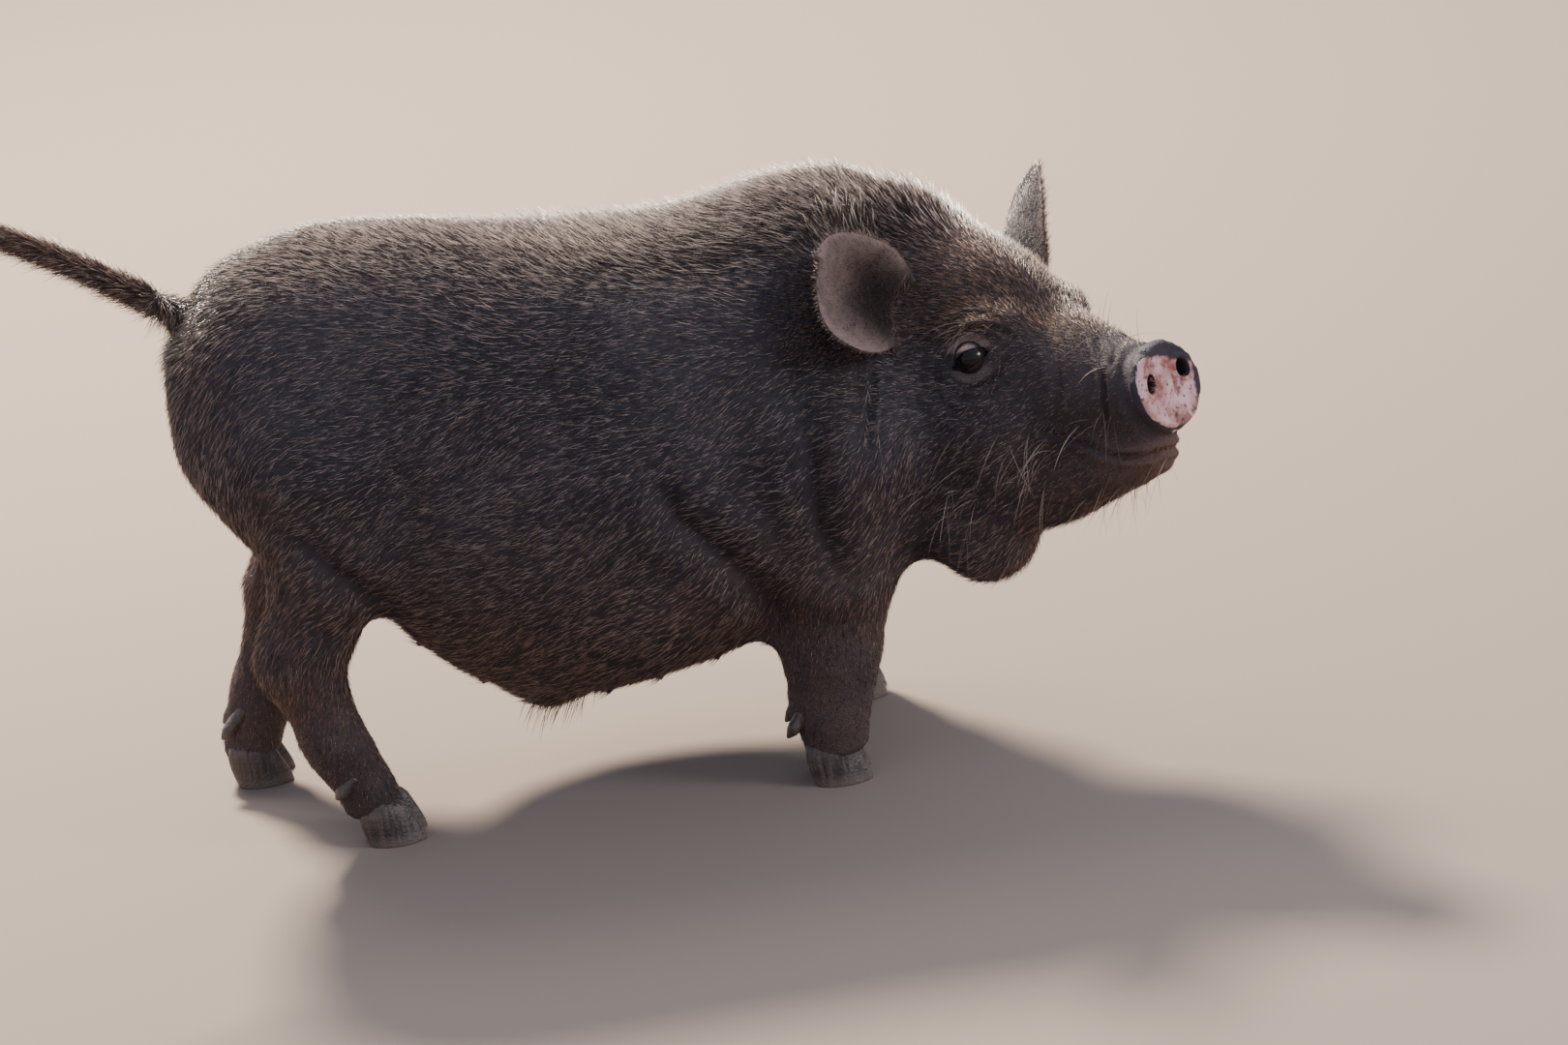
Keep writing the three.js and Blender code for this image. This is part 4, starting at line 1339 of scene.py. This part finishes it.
# The longest whiskers of the right side in the head's frame: root, direction, bend and length.
FEELERS = [
    ((98, -24, -38), (-0.80, -0.50, 0.45), (0.05, 0, -0.45), 40),
    ((97, -26, -42), (-0.70, -0.68, 0.22), (0.15, 0, -0.50), 30),
    ((96, -18, -30), (-0.35, -0.45, 0.82), (0.25, 0, 0.10), 30),
    ((20, -54, 16), (-0.93, -0.30, 0.22), (0, 0, -0.30), 52),
    ((4, -60, 18), (-0.90, -0.38, 0.30), (0, 0, -0.35), 44),
    ((-40, -72, 30), (-0.85, -0.40, 0.35), (0, 0, -0.30), 46),
    ((62, -34, -80), (-0.45, -0.80, -0.30), (0.1, 0, -0.50), 36),
    ((40, -46, -86), (-0.55, -0.75, -0.35), (0, 0.1, -0.45), 40),
    ((78, -12, -4), (0.05, -0.20, 0.97), (0.3, -0.1, 0.0), 28),
    ((84, -6, -10), (0.30, -0.10, 0.94), (0.25, 0.1, 0.0), 24),
    ((-20, -88, -64), (-0.60, -0.62, -0.50), (0, 0.1, -0.40), 40),
    ((6, -70, -62), (-0.65, -0.70, -0.20), (0, 0, -0.45), 42),
]
FEELER_WIDTH, FEELER_RINGS, FEELER_SEED = 0.55, 9, 31


def add_feelers(hide, material):
    """The longest whiskers, one by one, on both sides."""
    random = np.random.default_rng(FEELER_SEED)
    spots, ways, bends = (
        np.array([np.array(column) * (1, flip, 1) for flip in (1, -1)]).reshape(-1, 3)
        for column in list(zip(*FEELERS))[:3])
    sizes = np.array([feeler[3] for feeler in FEELERS] * 2, float)
    nearest = [int(np.argmin(distance(hide.points, spot))) for spot in from_head(spots)]
    holders = np.array([int(np.argmax(np.any(hide.corners == corner, axis=1))) for corner in nearest])
    roots = {"points": hide.points[nearest], "normals": hide.normals[nearest],
             "spots": hide.spots[holders].mean(axis=1),
             **{key: values[nearest] for key, values in hide.masks.items()}}
    mesh = bristles("feelers", roots, unit(ways @ HEAD_TURN.T), sizes, np.full(len(sizes), FEELER_WIDTH),
                    bends @ HEAD_TURN.T, random, rings=FEELER_RINGS)
    object_from("feelers", mesh, "hide", material)


# Where whiskers stand, in the head's frame: on both sides, then on the middle line; each with its reach.
WHISKER_SIDES = [((-2, 60, 16), 15), ((78, 26, -22), 14), ((88, 34, -76), 15), ((24, 55, -96), 40),
                 ((-36, 84, -120), 44)]
WHISKER_MIDDLE = [((84, 0, -16), 16), ((100, 0, -116), 18), ((60, 0, -132), 34)]


def near(points, centre, reach):
    """1 about a centre, falling to 0 at the reach."""
    return smooth_step(distance(points, centre), reach, reach * 0.4)


def add_all_long_hair(hide, crest, pale, amber):
    points, masks = hide.points, hide.masks
    head = to_head(points)
    x, _, z = points.T
    # The pale-tipped crest hair reaches far down the sides, painting the sunlit band along the back.
    ridge = smooth_step(keel_apart(points), 96, 26) * smooth_step(z, 375, 415)
    free = 1 - masks["bare"]
    mane = ridge * smooth_step(x, 120, 260) * smooth_step(head[:, 0], -50, -100)
    add_long_hair("crest_bristles", hide, mane, crest)
    add_long_hair("back_bristles", hide, ridge * smooth_step(x, 240, 120), crest)

    rise = head[:, 2] - np.interp(head[:, 0], [-60, 30, 95], [2, -8, -40])
    brow = smooth_step(head[:, 0], -100, -70) * smooth_step(head[:, 0], 100, 70) * smooth_step(rise, 0, 24)
    for name in SIDES:
        brow *= 1 - on_leaf(*ear_coordinates(head, name), name)
    add_long_hair("brow_bristles", hide, brow * free * (z > 330), amber)

    whisker = np.zeros(len(points))
    for side in (-1, 1):
        for spot, reach in WHISKER_SIDES:
            whisker += near(head, np.array(spot) * (1, side, 1), reach)
    for spot, reach in WHISKER_MIDDLE:
        whisker += near(head, spot, reach)
    add_long_hair("whiskers", hide, whisker * free, pale, jitter=55, rings=6)
    add_feelers(hide, pale)

    for name in SIDES:
        root, _, across, along = ear_place(name)
        up, aside, depth = ear_coordinates(head, name)
        reach = np.abs(aside) / ear_reach(up, aside, name)
        rim = smooth_step(reach, 0.80, 0.95) * (up > 0.04) * (up < 1.1) * (depth > -12) * (depth < 60)

        def outwards(spots, root=root, across=across, along=along):
            local = to_head(spots) - root
            push = np.sign(local @ across)[:, None] * across * 0.75 + along * 0.7
            return push @ HEAD_TURN.T

        inner = masks["lining"] * masks["hollow"] * smooth_step(up, 1.1, 0.9) * (up > -0.1)
        add_long_hair(f"ear_hair_{name}", hide, inner * (np.abs(depth) < 60), amber, jitter=30)
        add_long_hair(f"ear_fringe_{name}", hide, rim, amber, outwards)
    tail = (0.25 + smooth_step(x, -150, -280)) * smooth_step(x, -104, -120) * (z > 420)
    add_long_hair("tail_tuft", hide, tail, amber)
    tuft = near(points, (140, 0, 58), 34) * (z < 90)
    add_long_hair("belly_tuft", hide, tuft, amber, lambda spots: np.tile([-0.35, 0, -0.85], (len(spots), 1)))


def add_parts(horn, eye):
    """The pieces that stay separate from the skin: eyes, hooves and dewclaws."""
    for name in SIDES:
        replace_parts(object_from(f"eye_{name}_ball", eyeball_mesh(name), "eye", eye), f"eye_{name}")
    for leg in LEGS:
        for place in PLACES:
            for kind, shaped in (("hoof", claw_mesh), ("dewclaw", dewclaw_mesh)):
                node = f"{kind}_{leg}_{place}"
                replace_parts(object_from(f"{node}_horn", shaped(leg, place), "horn", horn), node)


# Bristle and hair colours: root, tip and roughness.
HAIR = {
    "coat_bristle": ((0.022, 0.017, 0.018, 1), (0.480, 0.360, 0.310, 1), 0.30),
    # Crest and back hair: pale grizzled tips, made paler than the coat's to paint sunlight along the back.
    "crest_bristle": ((0.035, 0.026, 0.022, 1), (0.560, 0.450, 0.360, 1), 0.26),
    "pale_whisker": ((0.24, 0.18, 0.14, 1), (0.70, 0.60, 0.50, 1), 0.35),
    "amber_hair": ((0.06, 0.034, 0.022, 1), (0.25, 0.155, 0.100, 1), 0.52),
}

make_camera()
make_studio()
markings, grain = marking_group(), grain_group()
skin_mesh = made_skin()
skin_masks = masks_of(skin_mesh)
skin_mesh.materials.clear()
write_masks(skin_mesh, skin_masks)
unwrap(skin_mesh)
hide = Hide(skin_mesh, skin_masks)
skin = object_from("skin", skin_mesh, "hide", skin_material(markings, grain))
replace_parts(skin, *TRUNK_NODES, *LEAF_NODES)
add_parts(horn_material(grain), eye_material())
coat, *long_hair = (coat_material(name, markings, *look) for name, look in HAIR.items())
add_body_coat(hide, coat)
add_all_long_hair(hide, *long_hair)
